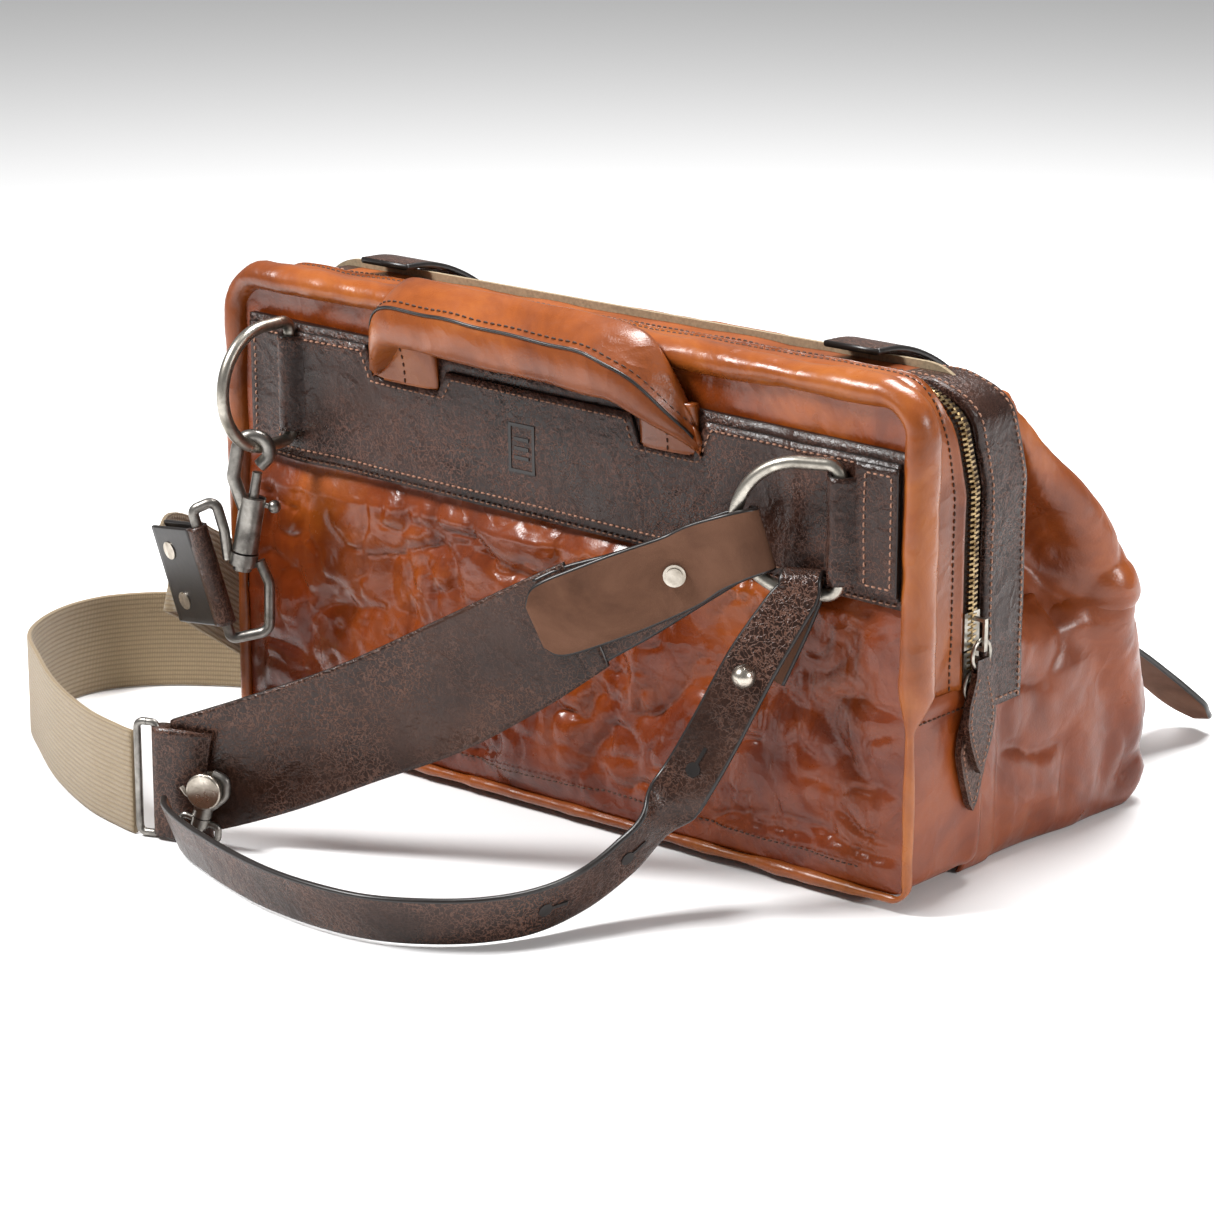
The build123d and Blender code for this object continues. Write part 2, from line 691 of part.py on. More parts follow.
def clasp_lever():
    """Sprung gate of the clasp with its thumb tab."""
    gate = rod([clasp_point(*p) for p in (PIVOT, (-5.0, -5), (-5.4, 1), (-2.9, 5.8))], 1.3, [4, 3])
    thumb = rod([clasp_point(*p) for p in ((-4.8, -6), (-9, -7.5), (-13, -4.5))], 1.2, [3])
    eye = peg(clasp_point(*PIVOT, -1.4), clasp_point(*PIVOT, 1.4), 2.1)
    return gate + thumb + eye - peg(clasp_point(*PIVOT, -3), clasp_point(*PIVOT, 3), 1.08)


def clasp_bow():
    """Wide ring at the clasp's foot, with an eye round the barrel."""
    eye = peg(clasp_point(0, -19), clasp_point(0, -15), 4.4)
    points = [(-3.8, -17), (-9, -17), (-10, -22), (-8, -25.5), (8, -25.5), (10, -22), (9, -17), (3.8, -17)]
    body = eye + rod([clasp_point(*p) for p in points], 1.6, [2.4, 2, 2, 2, 2, 2.4])
    return body - peg(clasp_point(0, -30), clasp_point(0, -12), 2.5) - peg(clasp_point(0, -22), clasp_point(0, -19.2), 3.5)


# ---------------------------------------------------------------- zip sliders and pullers

SLIDER_X = BAG_W / 2 + 2.2


def zip_slider(z_low, z_high, bridge_low, bridge_high, inner_x, outer_x):
    """Slider straddling the teeth, with a bridge for its pull ring."""
    plate = slab(SLIDER_X, SLIDER_X + 1.3, ZIP_SIDE - 5.6, ZIP_SIDE + 5.6, z_low, z_high)
    body = plate
    for side in (-1, 1):
        edge = ZIP_SIDE + side * 4.6
        body = body + slab(BAG_W / 2 - 0.5, SLIDER_X, edge - 1, edge + 1, z_low, z_high)
    x = SLIDER_X + 1.3
    body = body + slab(x, outer_x, ZIP_SIDE - 1.2, ZIP_SIDE + 1.2, bridge_high - 1.5, bridge_high)
    body = body + slab(x, outer_x, ZIP_SIDE - 1.2, ZIP_SIDE + 1.2, bridge_low, bridge_low + 1.5)
    return body + slab(inner_x, outer_x, ZIP_SIDE - 1.2, ZIP_SIDE + 1.2, bridge_low, bridge_high)


def pull_ring(x, z_top):
    """Round wire ring hanging in the slider's bridge."""
    centre = Plane(origin=at(x, ZIP_SIDE, z_top - 6.5), z_dir=(1, 0, 0))
    return centre * Torus(6.5, 0.9)


def pull_tab(x, z_top, length, thickness):
    """Leaf-shaped leather puller, looped over the ring's lower side."""
    top = z_top - 13 + 4.5
    half = [(4.5, 0), (4.8, 8), (9.5, 20), (10.5, 28), (8, 38), (3, length - 4), (0.01, length)]
    scale_points = [(d, z) for d, z in half]
    right = [(ZIP_SIDE + d, top - z) for d, z in scale_points]
    left = [(ZIP_SIDE - d, top - z) for d, z in reversed(scale_points[:-1])]
    leaf = side_prism(right + left, x - thickness / 2, x + thickness / 2)
    slot = slab(x - 1.15, x + 1.15, ZIP_SIDE - 8, ZIP_SIDE + 8, z_top - 14.4, z_top - 9.6)
    return leaf - slot


UPPER_X = BAG_W / 2 + 8.7
LOWER_X = BAG_W / 2 + 5.0
UPPER_TOP = 115.2
LOWER_TOP = 100.0


def main():
    save("back_panel", back_panel())
    save("panel_rim", panel_rim())
    save("rear_gusset", rear_gusset())
    save("lower_gusset", lower_gusset())
    save("zip_tape", zip_tape())
    save("zip_teeth", zip_teeth())
    save("zip_strip", zip_strip())
    save("divider_panel", divider_panel())
    save("base_panel", base_panel())
    save("base_board", base_board())
    save("front_panel", front_panel())
    save("rear_frame", rear_frame())
    save("front_frame", front_frame())
    save("hinge_pins", hinge_pins())
    save("front_flap", front_flap())
    save("front_fold", front_fold())
    for name, side in (("left", -1), ("right", 1)):
        save("side_gusset_" + name, side_gusset(side))
        save("gusset_fold_" + name, gusset_fold(side))
        save("closing_strap_" + name, closing_strap(side))
        save("strap_bridge_" + name, strap_bridge(side))
        save("snap_disc_" + name, snap_disc_on_strap(side))
    save("snap_sockets", snap_sockets())
    save("band_base", band_base())
    save("band_top", band_top())
    save("ring_loops", Compound(children=[ring_loop(LEFT_RING, -20, 21), ring_loop(RIGHT_RING, -21, 20)]))
    save("d_ring_left", d_ring(LEFT_RING))
    save("d_ring_right", d_ring(RIGHT_RING))
    save("handle_tabs", handle_tabs())
    save("handle_grip", handle_grip())
    save("snap_hook", snap_hook())
    save("snap_bolt", snap_bolt())
    save("swivel_eye", swivel_eye())
    save("hook_tab", hook_tab())
    save("hook_tab_rivets", hook_tab_rivets())
    save("webbing", webbing())
    save("webbing_rise", webbing_rise())
    save("wire_loop", wire_loop())
    save("strap_wide", strap_wide())
    save("strap_rivets", strap_rivets())
    save("clasp_stud", clasp_stud())
    save("strap_neck", strap_neck())
    save("strap_return", strap_return())
    save("strap_stud", strap_stud())
    save("strap_narrow", strap_narrow())
    save("narrow_rise", narrow_rise())
    save("clasp_body", clasp_body())
    save("clasp_pin", clasp_pin())
    save("clasp_lever", clasp_lever())
    save("clasp_bow", clasp_bow())
    save("zip_slider_upper", zip_slider(110.2, 127, 110.2, 125, UPPER_X + 1.2, UPPER_X + 2.4))
    save("zip_slider_lower", zip_slider(95, 109, 95.4, 107, LOWER_X + 1.2, LOWER_X + 2.0))
    save("pull_ring_upper", pull_ring(UPPER_X, UPPER_TOP))
    save("pull_ring_lower", pull_ring(LOWER_X, LOWER_TOP))
    save("pull_tab_upper", pull_tab(UPPER_X, UPPER_TOP, 53, 3.2))
    save("pull_tab_lower", pull_tab(LOWER_X, LOWER_TOP, 56, 3.2))


main()
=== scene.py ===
import math
import bmesh
import bpy
import numpy as np
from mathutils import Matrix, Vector


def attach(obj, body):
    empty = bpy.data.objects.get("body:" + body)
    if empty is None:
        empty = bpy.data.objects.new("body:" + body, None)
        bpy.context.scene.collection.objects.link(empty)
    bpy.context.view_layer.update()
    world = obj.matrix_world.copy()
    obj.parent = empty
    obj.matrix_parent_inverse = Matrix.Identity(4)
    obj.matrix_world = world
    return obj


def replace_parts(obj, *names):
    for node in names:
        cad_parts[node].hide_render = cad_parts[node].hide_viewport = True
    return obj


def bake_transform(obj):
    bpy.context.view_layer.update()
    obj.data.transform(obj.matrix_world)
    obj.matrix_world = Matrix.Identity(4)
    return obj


# Doctor bag, visual model. Working coordinates are millimetres (x, depth, z),
# with depth 0 on the wearer's panel.
HALF_D = 103.0
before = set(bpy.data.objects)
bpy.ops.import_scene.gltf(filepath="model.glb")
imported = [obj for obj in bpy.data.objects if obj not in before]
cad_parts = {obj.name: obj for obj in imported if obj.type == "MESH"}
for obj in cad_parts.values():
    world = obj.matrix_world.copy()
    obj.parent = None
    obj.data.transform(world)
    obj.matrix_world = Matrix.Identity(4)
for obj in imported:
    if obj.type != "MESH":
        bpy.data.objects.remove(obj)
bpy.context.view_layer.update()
FINE = 1.0


def metres(points):
    """Working millimetres to the frame's metres."""
    p = np.array(points, float).copy()
    p[..., 1] -= HALF_D
    return p / 1000.0


# ---- noise

def lattice(ix, iy, iz, seed):
    """A fixed number from 0 to 1 for each lattice cell."""
    h = (ix * 374761393 + iy * 668265263 + iz * 2147483647 + seed * 1274126177) & 0xFFFFFFFF
    h = ((h ^ (h >> 13)) * 1274126177) & 0xFFFFFFFF
    return ((h ^ (h >> 16)) & 0xFFFF) / 65535.0


def noise(points, size, seed=0):
    """Smooth value noise from 0 to 1 at points in millimetres."""
    q = np.asarray(points, float) / size + seed * 7.31
    i = np.floor(q).astype(np.int64)
    f = q - i
    f = f * f * f * (f * (f * 6 - 15) + 10)
    total = 0.0
    for dx in (0, 1):
        for dy in (0, 1):
            for dz in (0, 1):
                w = np.abs(1 - dx - f[..., 0]) * np.abs(1 - dy - f[..., 1]) * np.abs(1 - dz - f[..., 2])
                total = total + w * lattice(i[..., 0] + dx, i[..., 1] + dy, i[..., 2] + dz, seed)
    return total


def lumps(points, size, seed, height):
    """Soft ups and downs about zero."""
    return (noise(points, size, seed) - 0.5) * height


def crease(points, size, seed=0, sharp=5.0, bend=0.35):
    """Valleys along wandering lines: 0 on a crease, rising towards 1 between them."""
    p = np.asarray(points, float)
    w = np.stack([noise(p, size * 0.8, seed + 11 + k) for k in range(3)], -1) - 0.5
    n = np.abs(noise(p + w * size * bend * 2, size, seed) - 0.5)
    return 1 - np.exp(-n * sharp)


# ---- materials

def new_material(name):
    m = bpy.data.materials.new(name)
    m.use_nodes = True
    tree = m.node_tree
    tree.nodes.clear()
    out = tree.nodes.new("ShaderNodeOutputMaterial")
    bsdf = tree.nodes.new("ShaderNodeBsdfPrincipled")
    tree.links.new(bsdf.outputs[0], out.inputs[0])
    return m, tree, bsdf


def node(tree, kind, **values):
    """A shader node with its inputs or properties set."""
    n = tree.nodes.new(kind)
    for k, v in values.items():
        if k in n.inputs.keys():
            n.inputs[k].default_value = v
        else:
            setattr(n, k, v)
    return n


def ramp(tree, source, stops):
    """A colour ramp over (place, colour) stops."""
    r = tree.nodes.new("ShaderNodeValToRGB")
    e = r.color_ramp.elements
    while len(e) < len(stops):
        e.new(0.5)
    for i, (at, col) in enumerate(stops):
        e[i].position = at
        e[i].color = (*col, 1) if len(col) == 3 else col
    tree.links.new(source, r.inputs[0])
    return r


def noise_tex(tree, coords, scale, detail=4.0, rough=0.55, distortion=0.0):
    n = node(tree, "ShaderNodeTexNoise", Scale=scale, Detail=detail, Roughness=rough, Distortion=distortion)
    tree.links.new(coords, n.inputs["Vector"])
    return n


def object_coords(tree):
    return tree.nodes.new("ShaderNodeTexCoord").outputs["Object"]


def bumped(tree, height, strength, distance, under=None):
    """The normal from a bump, laid over an earlier one if there is one."""
    n = node(tree, "ShaderNodeBump", Strength=strength, Distance=distance)
    tree.links.new(height, n.inputs["Height"])
    if under is not None:
        tree.links.new(under, n.inputs["Normal"])
    return n.outputs[0]


def leather(name, dark, mid, light, rough=(0.25, 0.5), grain=900.0, crackle=0.0, crackle_scale=170.0,
            wrinkle=0.0, wrinkle_scale=60.0, coat=0.3, blotch=14.0, low=None, shine=0.4):
    """Leather: mottled colour, a fine grain, an optional crackled finish, optional wrinkles and, with low, an
    optional painted shade that darkens the colour towards the bottom.
    """
    m, t, b = new_material(name)
    tc = object_coords(t)
    mottle = noise_tex(t, tc, blotch, 6, 0.6, 0.6)
    colour = ramp(t, mottle.outputs[0], [(0.3, dark), (0.5, mid), (0.72, light)]).outputs[0]
    # Painted shade: below the height low[1] the colour is multiplied more and more by low[2], fully at low[0]
    # (heights in metres, in the object's own coordinates).
    if low is not None:
        sep = t.nodes.new("ShaderNodeSeparateXYZ")
        t.links.new(tc, sep.inputs[0])
        painted_shade_fade = node(t, "ShaderNodeMapRange")
        painted_shade_fade.inputs[1].default_value = low[0]
        painted_shade_fade.inputs[2].default_value = low[1]
        painted_shade_fade.inputs[3].default_value = 1.0
        painted_shade_fade.inputs[4].default_value = 0.0
        t.links.new(sep.outputs[2], painted_shade_fade.inputs[0])
        painted_shade_mix = node(t, "ShaderNodeMix", data_type="RGBA", blend_type="MULTIPLY")
        t.links.new(painted_shade_fade.outputs[0], painted_shade_mix.inputs[0])
        t.links.new(colour, painted_shade_mix.inputs[6])
        painted_shade_mix.inputs[7].default_value = (*low[2], 1)
        colour = painted_shade_mix.outputs[2]
    normal = None
    if crackle:
        cells = node(t, "ShaderNodeTexVoronoi", feature="DISTANCE_TO_EDGE", Scale=crackle_scale)
        warp = noise_tex(t, tc, crackle_scale * 0.4, 3, 0.6)
        add = node(t, "ShaderNodeVectorMath", operation="MULTIPLY_ADD")
        add.inputs[1].default_value = (0.012, 0.012, 0.012)
        t.links.new(warp.outputs[1], add.inputs[0])
        t.links.new(tc, add.inputs[2])
        t.links.new(add.outputs[0], cells.inputs["Vector"])
        lines = ramp(t, cells.outputs[0], [(0.0, (0, 0, 0)), (0.11, (1, 1, 1))]).outputs[0]
        where = ramp(t, noise_tex(t, tc, 22, 3, 0.5).outputs[0],
                     [(0.36, (0.15,) * 3), (0.56, (1, 1, 1))]).outputs[0]
        show = node(t, "ShaderNodeMix", data_type="RGBA")
        t.links.new(where, show.inputs[0])
        show.inputs[6].default_value = (1, 1, 1, 1)
        t.links.new(lines, show.inputs[7])
        tint = node(t, "ShaderNodeMix", data_type="RGBA")
        t.links.new(show.outputs[2], tint.inputs[0])
        tint.inputs[6].default_value = (*[min(1, c * 2.4 + 0.012) for c in light], 1)
        t.links.new(colour, tint.inputs[7])
        colour = tint.outputs[2]
        normal = bumped(t, show.outputs[2], 0.35 * crackle, 0.0006)
    t.links.new(colour, b.inputs["Base Color"])
    fine = node(t, "ShaderNodeTexVoronoi", Scale=grain)
    t.links.new(tc, fine.inputs["Vector"])
    normal = bumped(t, fine.outputs[0], 0.18, 0.0003, normal)
    if wrinkle:
        fold = noise_tex(t, tc, wrinkle_scale, 3, 0.5, 0.4)
        ridge = ramp(t, fold.outputs[0], [(0.36, (0, 0, 0)), (0.5, (1, 1, 1)),
                (0.64, (0, 0, 0))]).outputs[0]
        normal = bumped(t, ridge, wrinkle, 0.0018, normal)
    t.links.new(normal, b.inputs["Normal"])
    gloss = ramp(t, noise_tex(t, tc, 35, 5, 0.6).outputs[0],
                 [(0.3, (rough[0],) * 3), (0.7, (rough[1],) * 3)])
    t.links.new(gloss.outputs[0], b.inputs["Roughness"])
    b.inputs["Coat Weight"].default_value = coat
    b.inputs["Coat Roughness"].default_value = 0.22
    b.inputs["Specular IOR Level"].default_value = shine
    return m


def metal(name, dark, light, rough=0.35, worn=90.0):
    """Old cast or plated metal: darker in patches, with a soft shine."""
    m, t, b = new_material(name)
    tc = object_coords(t)
    patch = noise_tex(t, tc, worn, 6, 0.65, 0.4)
    colour = ramp(t, patch.outputs[0], [(0.35, dark), (0.68, light)])
    t.links.new(colour.outputs[0], b.inputs["Base Color"])
    b.inputs["Metallic"].default_value = 1.0
    gloss = ramp(t, patch.outputs[0], [(0.3, (rough + 0.15,) * 3), (0.7, (rough - 0.08,) * 3)])
    t.links.new(gloss.outputs[0], b.inputs["Roughness"])
    pits = noise_tex(t, tc, 700, 3, 0.6)
    t.links.new(bumped(t, pits.outputs[0], 0.25, 0.0002), b.inputs["Normal"])
    return m


def plain(name, colour, rough=0.6, speck=400.0):
    m, t, b = new_material(name)
    tc = object_coords(t)
    n = noise_tex(t, tc, speck, 3, 0.6)
    shade = ramp(t, n.outputs[0], [(0.3, [c * 0.75 for c in colour]),
            (0.7, [min(1, c * 1.2) for c in colour])])
    t.links.new(shade.outputs[0], b.inputs["Base Color"])
    b.inputs["Roughness"].default_value = rough
    t.links.new(bumped(t, n.outputs[0], 0.2, 0.0003), b.inputs["Normal"])
    return m


def woven(name, dark, light, pitch):
    """Coarse twill drawn from the strap's own length and width (UV in metres)."""
    m, t, b = new_material(name)
    uv = t.nodes.new("ShaderNodeUVMap").outputs[0]
    waves = []
    for turn in (0.0, math.pi / 2):
        mapping = node(t, "ShaderNodeMapping")
        mapping.inputs["Rotation"].default_value = (0, 0, turn)
        t.links.new(uv, mapping.inputs[0])
        wave = node(t, "ShaderNodeTexWave", wave_type="BANDS", bands_direction="X", Scale=0.314 / pitch,
                    Distortion=0.6)
        wave.inputs["Detail Scale"].default_value = 40.0
        t.links.new(mapping.outputs[0], wave.inputs["Vector"])
        waves.append(wave.outputs[1])
    both = node(t, "ShaderNodeMath", operation="MULTIPLY")
    t.links.new(waves[0], both.inputs[0])
    t.links.new(waves[1], both.inputs[1])
    shade = ramp(t, both.outputs[0], [(0.0, dark), (0.55, light)])
    t.links.new(shade.outputs[0], b.inputs["Base Color"])
    t.links.new(bumped(t, both.outputs[0], 0.7, 0.0008), b.inputs["Normal"])
    b.inputs["Roughness"].default_value = 0.9
    b.inputs["Sheen Weight"].default_value = 0.3
    return m


# The panel's low setting paints shade: its colour darkens towards the bottom.
PANEL = leather("panel_leather", (0.085, 0.014, 0.003), (0.22, 0.042, 0.006), (0.42, 0.105, 0.012),
                rough=(0.19, 0.36),
                wrinkle=0.35, wrinkle_scale=30.0, coat=0.22, low=(0.06, 0.19, (0.60, 0.46, 0.50)))
# The body's low setting paints shade: its colour darkens towards the floor.
BODY = leather("body_leather", (0.12, 0.022, 0.004), (0.25, 0.055, 0.008), (0.40, 0.105, 0.014),
               rough=(0.26, 0.46),
               wrinkle=0.35, wrinkle_scale=24.0, coat=0.2, low=(0.03, 0.15, (0.72, 0.58, 0.6)))
TAN = leather("tan_leather", (0.12, 0.024, 0.004), (0.25, 0.060, 0.009), (0.40, 0.120, 0.018),
              rough=(0.22, 0.42),
              wrinkle=0.25, wrinkle_scale=30.0, coat=0.2)
DARK = leather("dark_leather", (0.010, 0.0045, 0.003), (0.022, 0.009, 0.006), (0.045, 0.018, 0.011),
               rough=(0.2, 0.4),
               crackle=0.8, crackle_scale=360.0, shine=0.3, coat=0.06, wrinkle=0.22, wrinkle_scale=60.0)
STRAP = leather("strap_leather", (0.012, 0.0055, 0.0035), (0.026, 0.011, 0.007), (0.052, 0.022, 0.013),
                rough=(0.2, 0.38),
                crackle=0.8, crackle_scale=380.0, shine=0.3, coat=0.06, wrinkle=0.15, wrinkle_scale=60.0)
FLESH = leather("flesh_leather", (0.085, 0.038, 0.022), (0.125, 0.058, 0.034), (0.17, 0.082, 0.05),
                rough=(0.8, 0.95),
                grain=1500.0, coat=0.0, blotch=30.0, shine=0.2)
EDGE = plain("edge_paint", (0.012, 0.009, 0.008), 0.35, 300)
DARK_THREAD = plain("dark_thread", (0.06, 0.022, 0.010), 0.7, 900)
PINK_THREAD = plain("pink_thread", (0.33, 0.165, 0.105), 0.75, 900)
WEB = woven("webbing_fabric", (0.20, 0.14, 0.075), (0.38, 0.28, 0.16), 0.0009)
TAPE = plain("zip_fabric", (0.035, 0.018, 0.010), 0.85, 900)
BRASS = metal("antique_brass", (0.14, 0.085, 0.035), (0.52, 0.38, 0.20), 0.32, 160)
NICKEL = metal("dark_nickel", (0.22, 0.20, 0.17), (0.62, 0.58, 0.51), 0.30, 70)
GUN = metal("gunmetal", (0.13, 0.12, 0.11), (0.36, 0.34, 0.31), 0.34, 80)
BRIGHT = metal("worn_nickel", (0.30, 0.26, 0.21), (0.70, 0.64, 0.56), 0.28, 90)
LINING = plain("lining_cloth", (0.28, 0.21, 0.13), 0.9, 700)
BOARD = plain("board_black", (0.03, 0.025, 0.02), 0.7, 500)
STEEL = plain("frame_lacquer", (0.02, 0.02, 0.02), 0.3, 300)


# ---- mesh helpers

def build(name, verts, faces, mats, slots=None, uv=None, smooth=True):
    """A mesh object from points in millimetres (x, depth, z)."""
    data = bpy.data.meshes.new(name)
    data.from_pydata(metres(verts).tolist(), [], [list(map(int, f)) for f in faces])
    for m in mats:
        data.materials.append(m)
    if slots is not None:
        data.polygons.foreach_set("material_index", np.array(slots, np.int32))
    data.polygons.foreach_set("use_smooth", [smooth] * len(data.polygons))
    if uv is not None:
        layer = data.uv_layers.new(name="UVMap")
        index = np.empty(len(data.loops), np.int64)
        data.loops.foreach_get("vertex_index", index)
        layer.data.foreach_set("uv", np.asarray(uv, np.float32)[index].ravel())
    data.validate()
    data.update()
    o = bpy.data.objects.new(name, data)
    bpy.context.scene.collection.objects.link(o)
    return o


def grid_faces(rows, cols, offset=0, flip=False, wrap=False):
    """Quads over a grid of points, row by row."""
    faces = []
    for i in range(rows - 1):
        for j in range(cols if wrap else cols - 1):
            k = (j + 1) % cols
            f = [offset + i * cols + j, offset + i * cols + k, offset + (i + 1) * cols + k, offset
                 + (i + 1) * cols + j]
            faces.append(f[::-1] if flip else f)
    return faces


def outwards(o):
    """Makes every face point outwards."""
    b = bmesh.new()
    b.from_mesh(o.data)
    bmesh.ops.recalc_face_normals(b, faces=b.faces)
    b.to_mesh(o.data)
    b.free()
    return o


def sheet_solid(name, front, back, mats, edge=0, back_slot=0):
    """A closed sheet between two grids of points. Slots: 0 front, edge, back_slot."""
    rows, cols = front.shape[:2]
    n = rows * cols
    verts = np.concatenate([front.reshape(-1, 3), back.reshape(-1, 3)])
    faces = grid_faces(rows, cols)
    slots = [0] * len(faces)
    more = grid_faces(rows, cols, n, True)
    faces += more
    slots += [back_slot] * len(more)
    ring = [(0, j) for j in range(cols)] + [(i, cols - 1) for i in range(1, rows)]
    ring += [(rows - 1, j) for j in range(cols - 2, -1, -1)] + [(i, 0) for i in range(rows - 2, 0, -1)]
    loop = [i * cols + j for i, j in ring]
    for a, b in zip(loop, loop[1:] + loop[:1]):
        faces.append([a, n + a, n + b, b])
        slots.append(edge)
    return outwards(build(name, verts, faces, mats, slots))


def run_length(points):
    """Distance along a line of points, from its start."""
    return np.concatenate([[0], np.cumsum(np.linalg.norm(np.diff(points, axis=0), axis=1))])


def full_turn(count):
    return np.linspace(0, 2 * math.pi, count, endpoint=False)


def spline(points, count):
    """Catmull-Rom through rows of numbers, evenly spread by the distance of the first three."""
    p = np.array(points, float)
    ext = np.vstack([2 * p[0] - p[1], p, 2 * p[-1] - p[-2]])
    out = []
    for i in range(1, len(ext) - 2):
        for t in np.linspace(0, 1, 24, endpoint=False):
            a, b, c, d = ext[i - 1], ext[i], ext[i + 1], ext[i + 2]
            out.append(0.5 * (2 * b + (c - a) * t + (2 * a - 5 * b + 4 * c - d) * t * t
                              + (3 * b - a - 3 * c + d) * t ** 3))
    out.append(p[-1])
    out = np.array(out)
    s = run_length(out[:, :3])
    keep = np.concatenate([[True], np.diff(s) > 1e-6])
    want = np.linspace(0, s[-1], count)
    return np.stack([np.interp(want, s[keep], out[keep, k]) for k in range(out.shape[1])], -1)


def unit(v):
    v = np.asarray(v, float)
    return v / np.maximum(np.linalg.norm(v, axis=-1, keepdims=True), 1e-9)


def frames_of(centres, across):
    """Unit across and face vectors along a line of centres."""
    run = unit(np.gradient(centres, axis=0))
    a = unit(across - run * (across * run).sum(-1, keepdims=True))
    return a, unit(np.cross(run, a))


def strap_profile(width, thick, across=12, round_off=None):
    """Rounded oblong section and, for each side, which slot it takes: 0 face, 1 edge, 2 back."""
    r = round_off or thick * 0.42
    w, t = width / 2, thick / 2
    top = [(a, t) for a in np.linspace(-w + r, w - r, across)]
    right = [(w - r + r * math.sin(k), t - r + r * math.cos(k)) for k in (0.52, 1.05, 1.57)]
    right += [(w - r + r * math.cos(k), -t + r - r * math.sin(k)) for k in (0.52, 1.05)]
    bottom = [(-a, -t) for a, _ in top]
    left = [(-a, -n) for a, n in right]
    points = top + right + bottom + left
    slots = [0] * (across - 1) + [1] * 6 + [2] * (across - 1) + [1] * 6
    return np.array(points), slots


def tube_mesh(name, rows, mats, slots=None, closed=False, uv=None):
    """A closed skin through rows of section points (M, K, 3)."""
    m, k = rows.shape[:2]
    verts = rows.reshape(-1, 3)
    faces = grid_faces(m, k, wrap=True)
    out_slots = list(np.tile(slots or [0] * k, m - 1))
    if closed:
        for j in range(k):
            faces.append([(m - 1) * k + j, (m - 1) * k + (j + 1) % k, (j + 1) % k, j])
            out_slots.append((slots or [0] * k)[j])
    else:
        faces.append(list(range(k))[::-1])
        faces.append([(m - 1) * k + j for j in range(k)])
        end = 1 if len(mats) > 1 else 0
        out_slots += [end, end]
    return outwards(build(name, verts, faces, mats, out_slots, uv))


def strap(name, stations, thick, mats, step=2.0, wave=0.0, seed=1, across=12):
    """A flat strap. Each station is (x, depth, z, width, across x, y, z)."""
    rough = np.array(stations, float)
    length = np.linalg.norm(np.diff(rough[:, :3], axis=0), axis=1).sum()
    s = spline(stations, max(6, int(length / step * FINE)))
    a, n = frames_of(s[:, :3], s[:, 4:7])
    rows = []
    profile, slots = strap_profile(20.0, thick, across)
    for i in range(len(s)):
        w = s[i, 3]
        wide = profile[:, 0] + np.sign(profile[:, 0]) * (w - 20.0) / 2 * np.minimum(1,
                np.abs(profile[:, 0]) / (10 - thick * 0.42))
        rows.append(s[i, :3] + a[i] * wide[:, None] + n[i] * profile[:, 1][:, None])
    rows = np.array(rows)
    if wave:
        rows = rows + n[:, None, :] * ((noise(rows, 26, seed) - 0.5) * wave)[..., None]
    run = run_length(s[:, :3])
    uv = np.stack([np.repeat(run, rows.shape[1]), np.tile(profile[:, 0], len(s))], -1) / 1000
    return tube_mesh(name, rows, mats, slots, uv=uv), s, a, n


def stitches(name, lines, thread, pitch=3.3, length=2.3, radius=0.46):
    """Rows of short thread bars. Each line is (points on the surface, surface normals)."""
    verts, faces = [], []
    angles = full_turn(6)
    for points, normals in lines:
        p = np.array(points, float)
        nrm = np.broadcast_to(np.array(normals, float), p.shape)
        s = run_length(p)
        count = int(s[-1] / pitch)
        for c in range(count):
            mid = (c + 0.5) * s[-1] / count
            ends = [np.array([np.interp(mid + e * length / 2, s, p[:, k]) for k in range(3)])
                    for e in (-1, 1)]
            n = unit(np.array([np.interp(mid, s, nrm[:, k]) for k in range(3)]))
            run = unit(ends[1] - ends[0])
            side = np.cross(run, n)
            base = len(verts)
            for along, r, lift in ((0, 0.35, -0.25), (0.2, 1, 0.12), (0.8, 1, 0.12), (1, 0.35, -0.25)):
                c0 = ends[0] * (1 - along) + ends[1] * along + n * lift * radius * 2
                for k in angles:
                    verts.append(c0 + (side * math.cos(k) + n * math.sin(k)) * radius * r)
            for i in range(3):
                for j in range(6):
                    k = (j + 1) % 6
                    faces.append([base + i * 6 + j, base + i * 6 + k, base + i * 6 + 6 + k, base + i * 6
                                  + 6 + j])
            faces.append([base + j for j in range(5, -1, -1)])
            faces.append([base + 18 + j for j in range(6)])
    return outwards(build(name, verts, faces, [thread]))


# ---- the panel's outline

LEFT_X, RIGHT_X = -199.0, 203.0
TOP_Z, LOW_Z = 232.0, 5.0
RADIUS = 24.0
LOW_RADIUS = 9.0
RIM_RIGHT = 208.0
RIM_CORNER = 19.0


